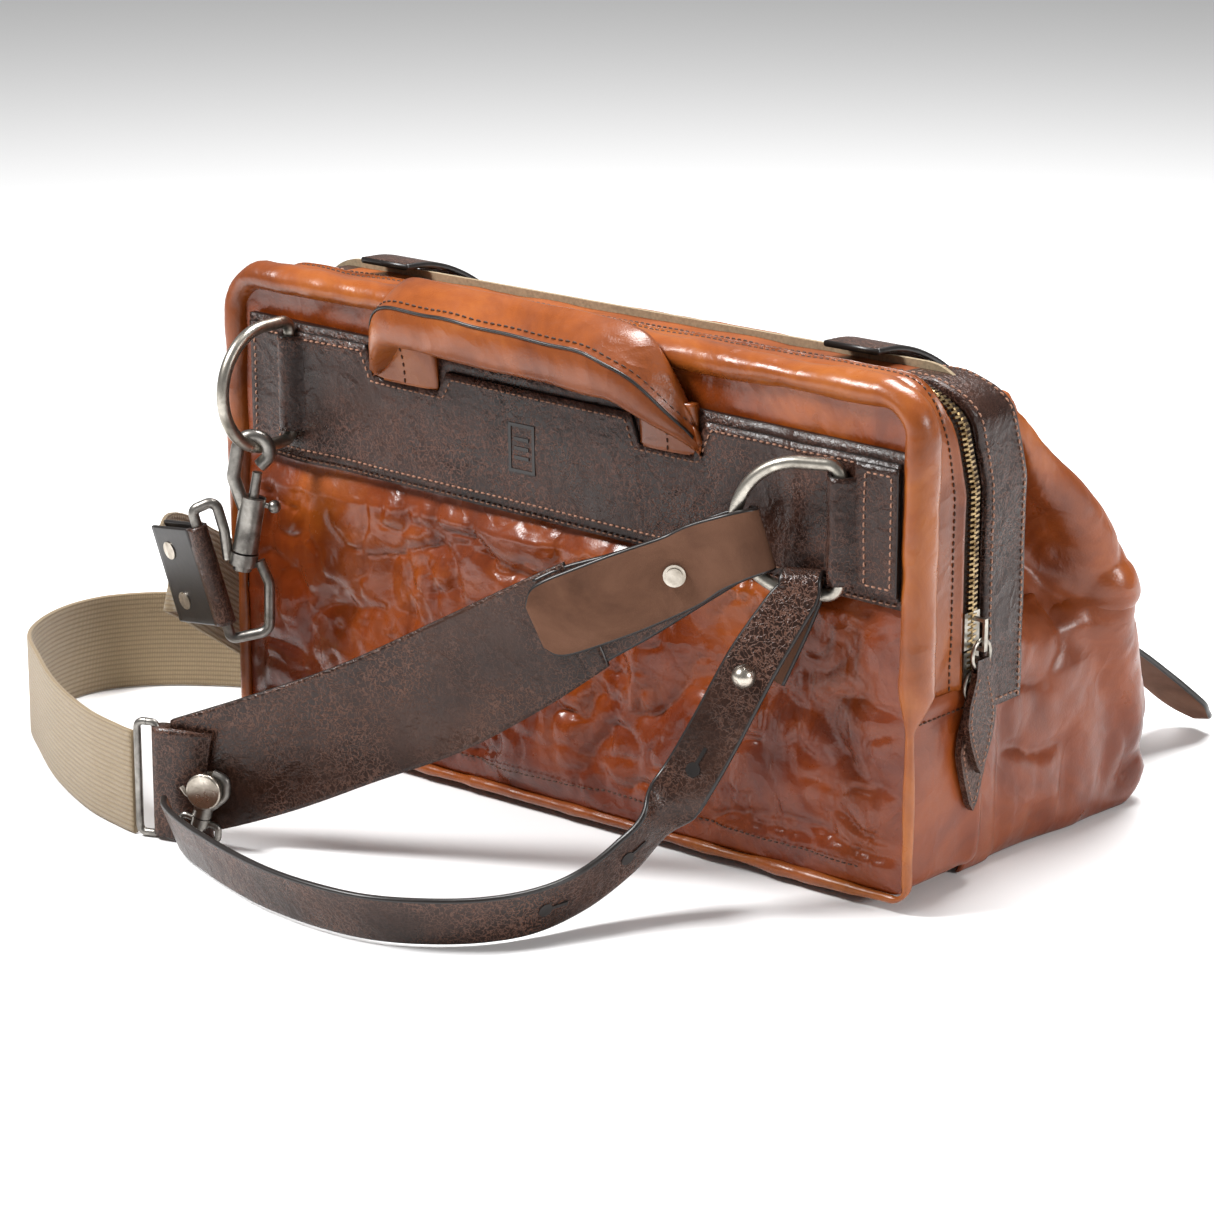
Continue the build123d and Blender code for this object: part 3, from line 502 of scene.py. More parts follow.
def outline(grow, step=3.0, low=None, right=None, corner=None):
    """Points (x, z) and normals round the panel, from the right foot over the top to the left."""
    x0, x1, z0, z1 = LEFT_X - grow, (right or RIGHT_X) + grow, LOW_Z - grow, TOP_Z + grow
    r = (corner or RADIUS) + grow
    q = LOW_RADIUS + grow
    parts = []
    start = z0 + q if low is None else low
    def line(a, b, n):
        count = max(2, int(math.dist(a, b) / step * FINE))
        for t in np.linspace(0, 1, count, endpoint=False):
            parts.append((a[0] + (b[0] - a[0]) * t, a[1] + (b[1] - a[1]) * t, *n))
    def arc(cx, cz, a0, a1, r):
        count = max(8, int(r * abs(a1 - a0) / step * FINE))
        for t in np.linspace(a0, a1, count, endpoint=False):
            parts.append((cx + r * math.cos(t), cz + r * math.sin(t), math.cos(t), math.sin(t)))
    line((x1, start), (x1, z1 - r), (1, 0))
    arc(x1 - r, z1 - r, 0, math.pi / 2, r)
    line((x1 - r, z1), (x0 + r, z1), (0, 1))
    arc(x0 + r, z1 - r, math.pi / 2, math.pi, r)
    line((x0, z1 - r), (x0, start), (-1, 0))
    if low is None:
        arc(x0 + q, z0 + q, math.pi, math.pi * 1.5, q)
        line((x0 + q, z0), (x1 - q, z0), (0, -1))
        arc(x1 - q, z0 + q, math.pi * 1.5, math.pi * 2, q)
    else:
        parts.append((x0, start, -1, 0))
    return np.array(parts)


def zip_depth(z):
    """Depth of the zip, which moves towards the panel near the top."""
    return 50.0 - 17.0 * np.clip((np.asarray(z) - 182.0) / 54.0, 0, 1)


# ---- wearer's panel and rim

def panel_lift(x, z):
    """How far the crinkled panel stands out of its flat plane."""
    p = np.stack([x, np.zeros_like(x), z], -1)
    band = np.clip((z - 132) / 10, 0, 1)
    big = crease(p * np.array([1, 1, 1.35]), 60, 3, 4.5) * 6.2
    mid = crease(p, 30, 5, 6.0) * 4.4
    small = crease(p, 14, 9, 7.0) * 2.0
    hollow = noise(p, 90, 2) * 3.0
    lift = big + mid + small + hollow
    return lift * (1 - 0.8 * band) - 5.2 + 2.2 * band


def clamp_round(x, z, grow):
    """Pulls points outside the rounded outline back onto it."""
    cx, cz = (LEFT_X + RIM_RIGHT) / 2, (TOP_Z + LOW_Z) / 2
    hx, hz = (RIM_RIGHT - LEFT_X) / 2 + grow, (TOP_Z - LOW_Z) / 2 + grow
    r = np.where(z > cz, RIM_CORNER, LOW_RADIUS) + grow
    dx, dz = np.maximum(np.abs(x - cx) - (hx - r), 0), np.maximum(np.abs(z - cz) - (hz - r), 0)
    d = np.maximum(np.hypot(dx, dz), 1e-9)
    k = np.where(d > r, r / d, 1.0)
    nx = cx + np.sign(x - cx) * (np.minimum(np.abs(x - cx), hx - r) + dx * k)
    nz = cz + np.sign(z - cz) * (np.minimum(np.abs(z - cz), hz - r) + dz * k)
    return nx, nz


def make_panel():
    """The crinkled panel and the hem stitches near its foot."""
    grow = -3.0
    xs = np.linspace(LEFT_X - grow, RIM_RIGHT + grow, int(230 * FINE))
    zs = np.linspace(LOW_Z - grow, TOP_Z + grow, int(140 * FINE))
    x, z = np.meshgrid(xs, zs)
    x, z = clamp_round(x, z, grow)
    edge = np.minimum.reduce([x - LEFT_X, RIM_RIGHT - x, z - LOW_Z, TOP_Z - z])
    fade = np.clip((edge - 4) / 14, 0, 1)
    lift = panel_lift(x, z) * fade
    front = np.stack([x, 1.5 - lift, z], -1)
    back = np.stack([x, np.full_like(x, 5.5), z], -1)
    o = sheet_solid("panel_skin", front, back, [PANEL])
    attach(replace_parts(o, "back_panel"), "bag")
    line = [(t, 1.5 - float(panel_lift(np.array(t), np.array(19.0))) - 0.2, 19.0)
            for t in np.linspace(-180, 184, 120)]
    s = stitches("panel_hem_stitches", [(line, (0, -1, 0))], DARK_THREAD)
    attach(s, "bag")


def make_rim():
    """Fat rolled edge above the lower gusset's seam, thinning to a turned edge below it."""
    path = outline(0.0, 2.2, right=RIM_RIGHT, corner=RIM_CORNER)
    ang = full_turn(22)
    rows = []
    for x, z, nx, nz in path:
        k = np.clip((z - 84) / 16, 0, 1)
        ro, rd, inset = 2.6 + 4.0 * k, 2.6 + 6.4 * k, 1.0 * (1 - k)
        cx, cz = x - nx * inset, z - nz * inset
        rows.append([(cx + nx * ro * math.cos(a), 0.5 + 3.5 * k + rd * math.sin(a), cz
                      + nz * ro * math.cos(a)) for a in ang])
    rows = np.array(rows)
    way = unit(rows - rows.mean(1, keepdims=True))
    turn = np.abs(path[:, 2] * path[:, 3])[:, None]
    bump = lumps(rows, 30, 4, 2.0) + (noise(rows, 10, 8) - 0.5) * (0.9 + 3.0 * turn) - turn * 1.2
    rows = rows + way * bump[..., None]
    o = tube_mesh("panel_rim_roll", rows, [TAN], closed=True)
    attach(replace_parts(o, "panel_rim"), "bag")


def swept(path, out, depth):
    """A grid of points set outwards from the outline, and the outward direction at each."""
    x, z, nx, nz = [np.broadcast_to(path[:, k, None], depth.shape) for k in range(4)]
    return np.stack([x + nx * out, depth, z + nz * out], -1), np.stack([nx, np.zeros_like(depth), nz], -1)


def outline_sheet(name, profile, mats, grow=0.0, low=93.0, wobble=0.6, seed=3, thick=2.0, edge=0, step=3.0):
    """A strip along the outline. profile: (share of the way to the zip, extra depth, outward)."""
    path = outline(grow, step, low)
    pro = np.array(profile, float)
    zd = zip_depth(path[:, 1])
    depth = 10 + pro[None, :, 0] * (zd[:, None] - 10) + pro[None, :, 1]
    out = np.broadcast_to(pro[None, :, 2], depth.shape)
    front, way = swept(path, out, depth)
    shift = (noise(front, 24, seed) - 0.5) * wobble * 2 + (noise(front, 9, seed + 1) - 0.5) * wobble * 0.5
    over_top = np.clip((path[:, 3] - 0.3) / 0.6, 0, 1)[:, None]
    shift = shift + over_top * np.interp(depth, [12, 22, 28, 36, 60], [0, 4.0, 2.5, -3.5, -4.5])
    front = front + way * shift[..., None]
    back = front - way * thick
    o = sheet_solid(name, front, back, mats, edge=edge)
    return o, front, way


def make_rear_gusset():
    """Strip between the rim and the zip."""
    prof = [(0.0, -4.0, -3.5), (0.0, -1.0, -2.5), (0.06, 0, -1.2), (0.2, 0, -0.4), (0.4, 0, 0.0),
            (0.55, 0, 0.1),
            (0.70, -2, -0.1), (0.78, -2, 0.2), (0.88, -4, 1.4), (0.93, -4.5, 1.7), (1.0, -7.2, 1.4),
            (1.0, -6.2, 0.4), (1.0, -6.0, -1.0)]
    o, front, way = outline_sheet("rear_gusset_strip", prof, [TAN], grow=-1.0, low=93.0, wobble=0.9,
            thick=2.0)
    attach(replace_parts(o, "rear_gusset"), "bag")
    s = stitches("rear_gusset_stitches", [(front[:, 6] + way[:, 6] * 0.2, way[:, 6])], DARK_THREAD)
    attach(s, "bag")


def make_zip():
    """Zip tape and two rows of teeth set turn about."""
    prof = [(1.0, -8, -1.6), (1.0, -4, -1.2), (1.0, 0, -1.2), (1.0, 4, -1.2), (1.0, 8.5, -1.6)]
    o, _, _ = outline_sheet("zip_tape_band", prof, [TAPE], grow=-1.0, low=94.0, wobble=0.0, thick=1.2)
    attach(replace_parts(o, "zip_tape"), "bag")
    path = outline(0.0, 0.5 / FINE, 96.0)
    s = np.concatenate([[0], np.cumsum(np.hypot(*np.diff(path[:, :2], axis=0).T))])
    verts, faces = [], []
    pitch = 1.25
    for c in range(int(s[-1] / pitch)):
        m = (c + 0.5) * pitch
        x, z, nx, nz = [np.interp(m, s, path[:, k]) for k in range(4)]
        side = 1 if c % 2 else -1
        d = float(zip_depth(z))
        run = np.array([-nz, 0, nx])
        out = np.array([nx, 0, nz])
        deep = np.array([0, 1.0, 0])
        centre = np.array([x, d, z]) + out * (0.1 - 3.4 * float(np.clip((nz - 0.3) / 0.6, 0, 1)))
        base = len(verts)
        for along in (-0.52, 0.52):
            for dd, oo in ((-0.6, -0.8), (3.3, -0.8), (3.3, 0.5), (0.4, 1.0), (-0.6, 0.7)):
                verts.append(centre + run * along + deep * dd * side + out * oo)
        faces += [[base, base + 1, base + 2, base + 3, base + 4],
                  [base + 9, base + 8, base + 7, base + 6, base + 5]]
        for j in range(5):
            k = (j + 1) % 5
            faces.append([base + j, base + 5 + j, base + 5 + k, base + k])
    o = outwards(build("zip_teeth_rows", verts, faces, [BRASS], smooth=False))
    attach(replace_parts(o, "zip_teeth"), "bag")


def make_zip_strip():
    """Dark strip beside the zip; its middle along the top is tan."""
    prof = [(1.0, 8.2, -1.2), (1.0, 8.0, 1.0), (1.0, 8.8, 1.7)] + [(1.0, 8.8 + t, 1.8)
            for t in (3, 7, 12, 17, 22, 26)]
    prof += [(1.0, 37.2, 1.7), (1.0, 38.0, 1.0), (1.0, 37.8, -1.2)]
    o, front, way = outline_sheet("zip_strip_band", prof, [DARK, EDGE, BODY], grow=0.0, low=80.0,
            wobble=0.8, thick=2.0, edge=1)
    for p in o.data.polygons:
        if abs(p.center.x) < 0.168 and p.center.z > 0.2:
            p.material_index = 2
    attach(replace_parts(o, "zip_strip"), "bag")
    side = np.abs(front[:, 3, 0]) > 168
    lines = []
    for part in (np.where(side & (front[:, 3, 0] > 0))[0], np.where(side & (front[:, 3, 0] < 0))[0]):
        lines += [(front[part, k] + way[part, k] * 0.15, way[part, k]) for k in (3, 8)]
    lines += [(front[k, 3:9] + way[k, 3:9] * 0.15, way[k, 3:9]) for k in (1, -2)]
    s = stitches("zip_strip_stitches", lines, PINK_THREAD, pitch=3.4)
    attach(s, "bag")
    top = np.where(~side)[0]
    s = stitches("top_seam_stitches", [(front[top, 3] + way[top, 3] * 0.15, way[top, 3])], DARK_THREAD)
    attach(s, "bag")


def make_lower_gusset():
    """Plain lower gusset: right side, under the panel and left side, in one skin."""
    path = outline(-1.0, 3.0)
    low = path[(path[:, 1] < 93.0)]
    cut = np.argmax(np.hypot(*np.diff(low[:, :2], axis=0).T))
    low = np.concatenate([low[cut + 1:], low[:cut + 1]])
    ends = [np.array([[low[0, 0], 93.0, low[0, 2], low[0, 3]]]),
            np.array([[low[-1, 0], 93.0, low[-1, 2], low[-1, 3]]])]
    low = np.concatenate([ends[0], low, ends[1]])
    low[:, 1] = np.maximum(low[:, 1], 1.0)
    pro = np.array([(6, -3), (9, -2), (12, -0.8), (20, 0.2), (30, 0.4), (42, 0.2), (52, 0.2), (54, 1.6),
                    (56.5, 2.4), (59, 1.6), (60, -1)])
    depth = np.broadcast_to(pro[None, :, 0], (len(low), len(pro))).copy()
    out = np.broadcast_to(pro[None, :, 1], depth.shape).copy()
    flat = np.clip(-low[:, 3], 0, 1)[:, None]
    out = out * (1 - 0.9 * flat)
    near = np.clip((low[:, 1] - 82) / 11, 0, 1)[:, None] * (np.abs(low[:, 2])[:, None] > 0.9)
    out = out + np.sin(near * math.pi) * 1.6
    front, way = swept(low, out, depth)
    front = front + way * (lumps(front, 28, 6, 2.2) * (1 - flat))[..., None]
    front[..., 2] = np.maximum(front[..., 2], 0.2)
    back = front - way * 2.2
    o = sheet_solid("lower_gusset_skin", front, back, [BODY])
    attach(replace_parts(o, "lower_gusset"), "bag")
    lines = []
    for side, x in ((1, RIGHT_X - 0.6), (-1, LEFT_X + 0.6)):
        lines.append(([(x + side * 0.6, d, 84.0) for d in np.linspace(12, 50, 20)], (side, 0, 0)))
    s = stitches("lower_gusset_stitches", lines, DARK_THREAD)
    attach(s, "bag")


# ---- main body

# The front face: depth at each height
PROFILE_Z = [0, 16, 50, 82, 97, 108, 120, 136, 152, 166, 194, 205, 214]
PROFILE_D = [198, 207, 202, 191, 184, 186, 182, 173, 160, 146, 117, 106, 96]


def front_depth(z):
    """Depth of the front face at a height."""
    return np.interp(z, PROFILE_Z, PROFILE_D)


def side_row(z):
    """Key points (x, depth) of the right half at one height, from under the strip to the front's middle."""
    up = float(np.clip((z - 96) / 118, 0, 1))
    fd = float(front_depth(z))
    foot = 1 - min(z / 10, 1)
    dip = float(np.interp(z, [80, 98, 112, 135, 170, 200, 214], [0, 5, 20, 35, 40, 34, 24]))
    fold = float(np.interp(z, [90, 110, 140, 170, 200, 214], [52, 48, 44, 38, 27, 15]))
    valley = fd - fold
    w = 199.0 - 4 * foot ** 2
    ear = w + 1 - 8 * up ** 2
    bulge = 6.0 * math.sin(math.pi * min(max((z - 5) / 170, 0), 1))
    half = 88 + max(valley - 88, 2) * 0.45
    rows = [(w - 3, 60), (w - 3, 80), (w - 5 - dip * 0.1, 88), (w - 4 - dip * 0.62, half),
            (w - dip, max(valley - 3, 90))]
    rows += [(w - dip * 0.84, valley + fold * 0.1), (w - dip * 0.22, valley + fold * 0.30),
             (ear + bulge, valley + fold * 0.58)]
    r = min(22, fold * 0.6)
    rows += [(ear + bulge * 0.6, fd - fold * 0.16), (ear - r * 0.4, fd - 0.6), (ear - r * 1.4, fd + 0.6)]
    rows += [(ear - 55, fd + 2.5 * (1 - up)), (100, fd + 4 * (1 - up)), (0, fd + 5 * (1 - up))]
    return rows


def body_rows(zs, cols):
    """The body's outline at each height, mirrored from the right half."""
    rows = []
    for z in zs:
        pts = np.array([(x, d, 0.0) for x, d in side_row(float(z))])
        s = spline(pts, cols)
        half = np.stack([s[:, 0], s[:, 1], np.full(cols, z)], -1)
        mirror = half[:-1][::-1] * np.array([-1, 1, 1])
        rows.append(np.concatenate([half, mirror]))
    return np.array(rows)


def crumple(rows, amount, seed, stretch=0.7):
    """Creases pushed along the skin's own normals, calmer under the closing straps."""
    du, dv = np.gradient(rows, axis=1), np.gradient(rows, axis=0)
    n = unit(np.cross(du, dv))
    mid = np.array([0.0, 110.0, 90.0])
    n = n * np.sign(((rows - mid) * n).sum(-1, keepdims=True).mean())
    p = rows * np.array([1, 1, stretch])
    h = (crease(p, 56, seed, 5.0) - 0.6) * 7.0 + (crease(p, 26, seed + 3, 6)
            - 0.6) * 4.4 + (crease(p, 12, seed + 5, 7) - 0.5) * 0.9
    calm = 1 - 0.75 * np.exp(-((np.abs(rows[..., 0]) - 140) / 20) ** 2) * (rows[..., 1] > 100)
    return rows + n * (h * amount * calm)[..., None]


def make_body():
    """Lower skin on the bag, and upper skin above it."""
    cols = int(130 * FINE)
    zs = np.concatenate([[0.3, 1.2, 3, 6, 10], np.linspace(14, 112, int(50 * FINE))])
    low = body_rows(zs, cols)
    calm = np.clip((low[..., 2] - 2) / 20, 0, 1)
    under_strip = np.clip((low[..., 1] - 86) / 8, 0, 1)
    low = crumple(low, 1.05 * calm * under_strip, 21)
    low[..., 2] = np.maximum(low[..., 2], 0.2)
    centre = np.array([0, 120.0, 70.0])
    inner = low + unit((centre - low) * np.array([1, 1, 0])) * 2.2
    o = sheet_solid("body_lower_skin", low, inner, [BODY])
    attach(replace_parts(o, "front_panel", "side_gusset_left", "side_gusset_right", "base_panel"), "bag")
    zs = np.linspace(99, 214, int(62 * FINE))
    up = body_rows(zs, cols)
    grow = np.clip((124 - zs) / 25, 0, 1)[:, None]
    out = unit((up - centre) * np.array([1, 1, 0]))
    front_part = np.clip((up[..., 1] - 120) / 30, 0, 1)
    up = up + out * ((3.4 * np.sin(grow * math.pi * 0.9) - 3.0 * np.clip(grow - 0.75, 0,
            1) * 4) * front_part)[..., None]
    up = crumple(up, 0.62 * np.clip((up[..., 1] - 84) / 10, 0, 1), 33, 0.35)
    crest = [up]
    last = up[-1]
    for inward, rise in ((1.2, 1.6), (3.5, 2.4), (6.5, 2.0), (8.5, 0.2)):
        moved = last + unit((np.array([0, 88.0, 0]) - last) * np.array([0.25, 1, 0])) * inward
        moved[:, 2] = last[:, 2] + rise
        crest.append(moved[None])
    up = np.concatenate(crest)
    inner = up + unit((np.array([0, 110.0, 150.0]) - up) * np.array([1, 1, 0])) * 2.0
    o = sheet_solid("body_upper_skin", up, inner, [BODY])
    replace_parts(o, "front_flap", "front_fold", "gusset_fold_left", "gusset_fold_right")
    metres((0, 80, 150))
    metres((0, 98, 150))
    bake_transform(o)


# ---- band

def band_bulge(x, z):
    """The band lifts over each ring's bar and waves a little."""
    p = np.stack([x, np.zeros_like(x), z], -1)
    wave = lumps(p, 34, 12, 2.2) * np.clip((z - 146) / 8, 0, 1)
    left = 2.5 * np.exp(-((x + 150) / 16) ** 2)
    right = 1.5 * np.exp(-((x - 150) / 10) ** 2)
    return np.maximum(0.4 + wave + left + right, 0.1)


def x_band(name, xs, low, high, front, back, mats, rows=14):
    """A sheet over a range of x, between low and high edges."""
    t = np.linspace(0, 1, rows)
    z = low[None, :] + (high - low)[None, :] * t[:, None]
    x = np.broadcast_to(xs[None, :], z.shape)
    d = front(x, z)
    fr = np.stack([x, d, z], -1)
    bk = np.stack([x, np.broadcast_to(back(x, z), z.shape), z], -1)
    return sheet_solid(name, fr, bk, mats, edge=1), fr


TOP_X = [-184, -108, -102, -62, -57, 54, 59, 90, 97, 203]
TOP_TOP = [211, 210, 196, 195, 204.5, 203, 190, 189.5, 205.5, 203.5]


def make_band():
    """Two dark layers across the panel, with their stitches."""
    xs = np.linspace(-186, 204.5, int(260 * FINE))
    o, _ = x_band("band_lower_layer", xs, np.interp(xs, [-186, 204], [147, 139]),
                  np.interp(xs, [-186, 204], [214.5, 208]),
                  lambda x, z: -2.0 - band_bulge(x, z) * 0.9, lambda x, z: 0 * x + 1.0, [DARK, EDGE])
    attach(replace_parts(o, "band_base"), "bag")
    xs = np.unique(np.concatenate([np.linspace(-184, 202.5, int(300 * FINE)), TOP_X[:-1]]))
    low = np.interp(xs, [-184, 194], [151, 143])
    high = np.interp(xs, TOP_X, TOP_TOP)

    def face(x, z):
        return -4.2 - band_bulge(x, z)

    o, _ = x_band("band_upper_layer", xs, low, high, face, lambda x, z: -1.8 - band_bulge(x, z) * 0.85,
                  [DARK, EDGE])
    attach(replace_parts(o, "band_top"), "bag")
    lines = []
    def on(x, z):
        return (x, float(face(np.array(float(x)), np.array(float(z)))) - 0.1, z)
    lines.append(([on(x, np.interp(x, [-184, 194], [151, 143]) + 3) for x in np.linspace(-181, 200, 180)],
                  (0, -1, 0)))
    top = []
    for x in np.linspace(-181, 200, 400):
        shift = np.array([np.interp(x + k, TOP_X, TOP_TOP) for k in (-3, -2, -1, 0, 1, 2, 3)]).min()
        top.append(on(x, shift - 3))
    lines.append((top, (0, -1, 0)))
    for x in (-181, -164, 200):
        lines.append(([on(x, z) for z in np.linspace(152 if x < 0 else 148, 207 if x < 0 else 199, 30)],
                      (0, -1, 0)))
    base = [(x, -2.2 - float(band_bulge(np.array(float(x)), np.array(144.0))) * 0.9,
             np.interp(x, [-186, 196], [147, 139]) + 1.8) for x in np.linspace(-183, 201, 160)]
    lines.append((base, (0, -1, 0)))
    s = stitches("band_stitches", lines, PINK_THREAD, pitch=3.5)
    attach(s, "bag")
    make_patch()
    make_mark(on)


def make_patch():
    """Square patch at the band's right end, and the two soft loops over the ring bars."""
    xs = np.linspace(179.5, 203, 14)
    low, high = np.full(14, 145.0), np.full(14, 202.0)
    o, _ = x_band("band_end_patch", xs, low, high, lambda x, z: -6.4 - band_bulge(x, z) * 0.9, lambda x, z:
                  -3.9 - band_bulge(x, z) * 0.9, [DARK, EDGE], 20)
    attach(o, "bag")
    lines = []
    for a, b in (((186, 148.5), (200, 148.5)), ((200, 148.5), (200, 198.5)), ((200, 198.5), (186, 198.5)),
                 ((186, 198.5), (186, 148.5))):
        pts = [(a[0] + (b[0] - a[0]) * t, 0, a[1] + (b[1] - a[1]) * t) for t in np.linspace(0, 1, 16)]
        pts = [(x, -6.5 - float(band_bulge(np.array(x), np.array(z))) * 0.9, z) for x, _, z in pts]
        lines.append((pts, (0, -1, 0)))
    s = stitches("band_patch_stitches", lines, PINK_THREAD, pitch=3.5)
    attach(s, "bag")
    rows = []
    for x, z0, z1, name in ((-154, 160, 212, "ring_loop_left"), (174, 144, 198, "ring_loop_right")):
        u = np.linspace(-17, 17, 28)
        z = np.linspace(z0 + 3, z1 - 3, 20)
        uu, zz = np.meshgrid(u, z)
        height = 10.2 * np.exp(-np.abs(uu / 7.0) ** 2.6)
        fr = np.stack([x + uu, -4.0 - height, zz], -1)
        fr[..., 1] -= lumps(fr, 12, 3, 0.8)
        bk = np.stack([x + uu, np.full_like(uu, -3.4) - np.maximum(height - 2.2, 0), zz], -1)
        rows.append(sheet_solid(name, fr, bk, [DARK, EDGE], edge=1))
        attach(rows[-1], "bag")
    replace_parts(rows[0], "ring_loops")


def make_mark(on):
    """A plain embossed mark: a small ladder of bars."""
    verts, faces = [], []
    bars = [(-8, 8, 10, 11.6), (-8, 8, -11.6, -10), (-8, -6.4, -10, 10), (6.4, 8, -10, 10),
            (-4.5, 4.5, 3.6, 5.2), (-4.5, 4.5, -0.8, 0.8), (-4.5, 4.5, -5.2, -3.6)]
    for x0, x1, z0, z1 in bars:
        base = len(verts)
        for lift in (0.6, -0.35):
            for x, z in ((x0, z0), (x1, z0), (x1, z1), (x0, z1)):
                p = on(-10 + x, 176 + z)
                verts.append((p[0], p[1] + lift, p[2]))
        faces += [[base + k for k in f] for f in ((0, 1, 2, 3), (7, 6, 5, 4), (0, 4, 5, 1), (1, 5, 6, 2),
                (2, 6, 7, 3), (3, 7, 4, 0))]
    o = outwards(build("band_mark", verts, faces, [EDGE], smooth=False))
    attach(o, "bag")


# ---- handle

HANDLE_BEND = (metres((0, -20, 206)), metres((0, -20, 216)))


def make_handle():
    """Grip: a tilted top face and a front face meeting in a stitched seam, sloping down at both ends."""
    # x, top, seam and bottom heights, front and back depths
    keys = [(-103, 204, 203, 195, -7, -3.5), (-98, 215, 211, 198, -12, -3.6), (-92, 227, 220, 203, -18, -4),
            (-86, 237, 227, 209, -24, -5),
            (-80, 244, 233, 214.5, -28, -6), (-72, 247.5, 237, 218, -31, -6.5),
            (-60, 248, 238, 219, -32, -7), (-20, 247.8, 237, 217.5, -32.5, -7),
            (20, 247, 235.5, 216, -32.5, -7), (50, 246, 233.5, 214.5, -32, -7),
            (62, 244, 231, 212.5, -31, -6.5), (70, 240, 227, 209, -29, -6),
            (78, 231, 219, 204, -24, -5), (86, 217, 208, 197, -16, -4), (92, 204, 199, 191, -9, -3.6),
            (95, 195, 193, 189, -6, -3.5)]
    keys = np.array(keys, float)
    table = spline(np.stack([keys[:, 0], keys[:, 4], keys[:, 2], keys[:, 1], keys[:, 3], keys[:, 5]], -1),
                   int(120 * FINE))
    rows = []
    for x, n, sm, t, b, f in table:
        section = [(f, t - 2.5), (f - 1.5, t - 0.6), (f - 4.5, t), ((n + f) / 2, (t + sm) / 2 + 2.2),
                   (n + 4.5, sm + 2.6), (n + 1.6, sm + 1.0), (n + 0.5, sm + 0.1)]
        section += [(n + 0.3, sm - 1.0), (n - 0.6, sm - 3.0), (n - 0.9, (sm + b) / 2), (n + 0.4, b + 3.2),
                (n + 2.6, b + 0.8), (n + 6, b), ((n + f) / 2, b + 0.5), (f - 2.5, b + 0.6), (f, b + 2.2),
                (f + 0.2, (t + b) / 2)]
        rows.append([(x, d, z) for d, z in section])
    rows = np.array(rows)
    rows[..., 1] += lumps(rows, 22, 17, 1.6)
    rows[..., 2] += lumps(rows, 19, 18, 1.6)
    o = tube_mesh("handle_leather", rows, [TAN])
    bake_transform(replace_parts(o, "handle_grip"))
    seam = rows[:, 6]
    bead = []
    for c in seam[5:-3]:
        bead.append([c + np.array([0, math.cos(a) * 0.8 - 0.2, math.sin(a) * 0.8]) for a in full_turn(8)])
    e = tube_mesh("handle_edge", np.array(bead), [EDGE])
    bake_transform(e)
    lines = [(rows[6:-4, 4] * 0.75 + rows[6:-4, 5] * 0.25 + np.array([0, -0.1, 0.25]), (0, -0.35, 0.9))]
    s = stitches("handle_stitches", lines, DARK_THREAD, pitch=4.0, length=2.6)
    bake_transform(s)


def make_handle_tabs():
    """The two leather tabs that hold the grip's ends on the band."""
    tabs = []
    for k, (x0, x1, z0, z1) in enumerate(((-103, -63, 195, 214), (59, 92, 189, 213))):
        xs = np.linspace(x0, x1, 24)
        t = np.linspace(0, 1, 14)
        zz = z0 + (z1 - z0) * t[:, None] + 0 * xs[None, :]
        xx = xs[None, :] + 0 * zz
        lift = 1.6 * np.sin(math.pi * (xx - x0) / (x1 - x0)) ** 0.5 + 4.0 * t[:,
                None] ** 2 * np.ones_like(xx)
        fr = np.stack([xx, -3.4 - lift - (noise(np.stack([xx, 0 * xx, zz], -1), 12, 5) - 0.5), zz], -1)
        bk = np.stack([xx, np.full_like(xx, -2.6), zz], -1)
        o = sheet_solid(("handle_tab_left", "handle_tab_right")[k], fr, bk, [TAN])
        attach(o, "bag")
        tabs.append(o)
        mid = fr[:, 12]
        s = stitches(("handle_tab_stitch_left", "handle_tab_stitch_right")[k],
                     [(mid + np.array([0, -0.1, 0]), (0, -1, 0))], DARK_THREAD)
        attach(s, "bag")
    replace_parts(tabs[0], "handle_tabs")


# ---- closing straps

STRAP_X, STRAP_WIDTH, TIP_WIDTH = 140, 30, 14
TAIL_FROM, TAIL_DRIFT = 8, 5
STRAP_THICK = 3.0
WEB_THICK, WEB_WIDTH = 2.4, 49
# (depth, z) from the zip strip over the mouth and down to the tip
STRAP_RUN = [(43, 237), (58, 236), (72, 232.5), (86, 226.5), (98, 219.5), (119, 203), (167, 154),
             (191, 114), (204, 86),
             (224, 70), (250, 53), (277, 33), (297, 16), (307, 7)]


def make_closing_straps():
    """Each strap in two pieces: the bend at the mouth and the free length."""
    for side, word in ((-1, "left"), (1, "right")):
        rows = []
        for i, (d, z) in enumerate(STRAP_RUN):
            w = STRAP_WIDTH if i < len(STRAP_RUN) - 1 else TIP_WIDTH
            rows.append((side * (STRAP_X + TAIL_DRIFT * max(i - TAIL_FROM, 0)), d, z, w, 1, 0, 0))
        o, *_ = strap("closing_strap_leather_" + word, rows[4:], STRAP_THICK, [FLESH, EDGE, STRAP],
                      wave=0.8, seed=5)
        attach(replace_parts(o, "closing_strap_" + word), "closing_strap_" + word)
        b, *_ = strap("strap_bridge_leather_" + word, rows[:5], STRAP_THICK, [FLESH, EDGE, STRAP])
        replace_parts(b, "strap_bridge_" + word)
        metres((0, 52, 238))
        metres((0, 96, 228))
        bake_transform(b)


# ---- shoulder strap

# (x, depth, height of the middle) along the floor
WEB_FLOOR = [(-128.6, -141.2, 25), (-140, -139.5, 25), (-170, -132, 25), (-212, -113, 25), (-252, -88, 25),
             (-280, -68, 25),
             (-295, -46, 25), (-302, -22, 25), (-300, 0, 25), (-290, 17, 25), (-276, 31, 25),
             (-258, 44, 25), (-243, 52, 25)]


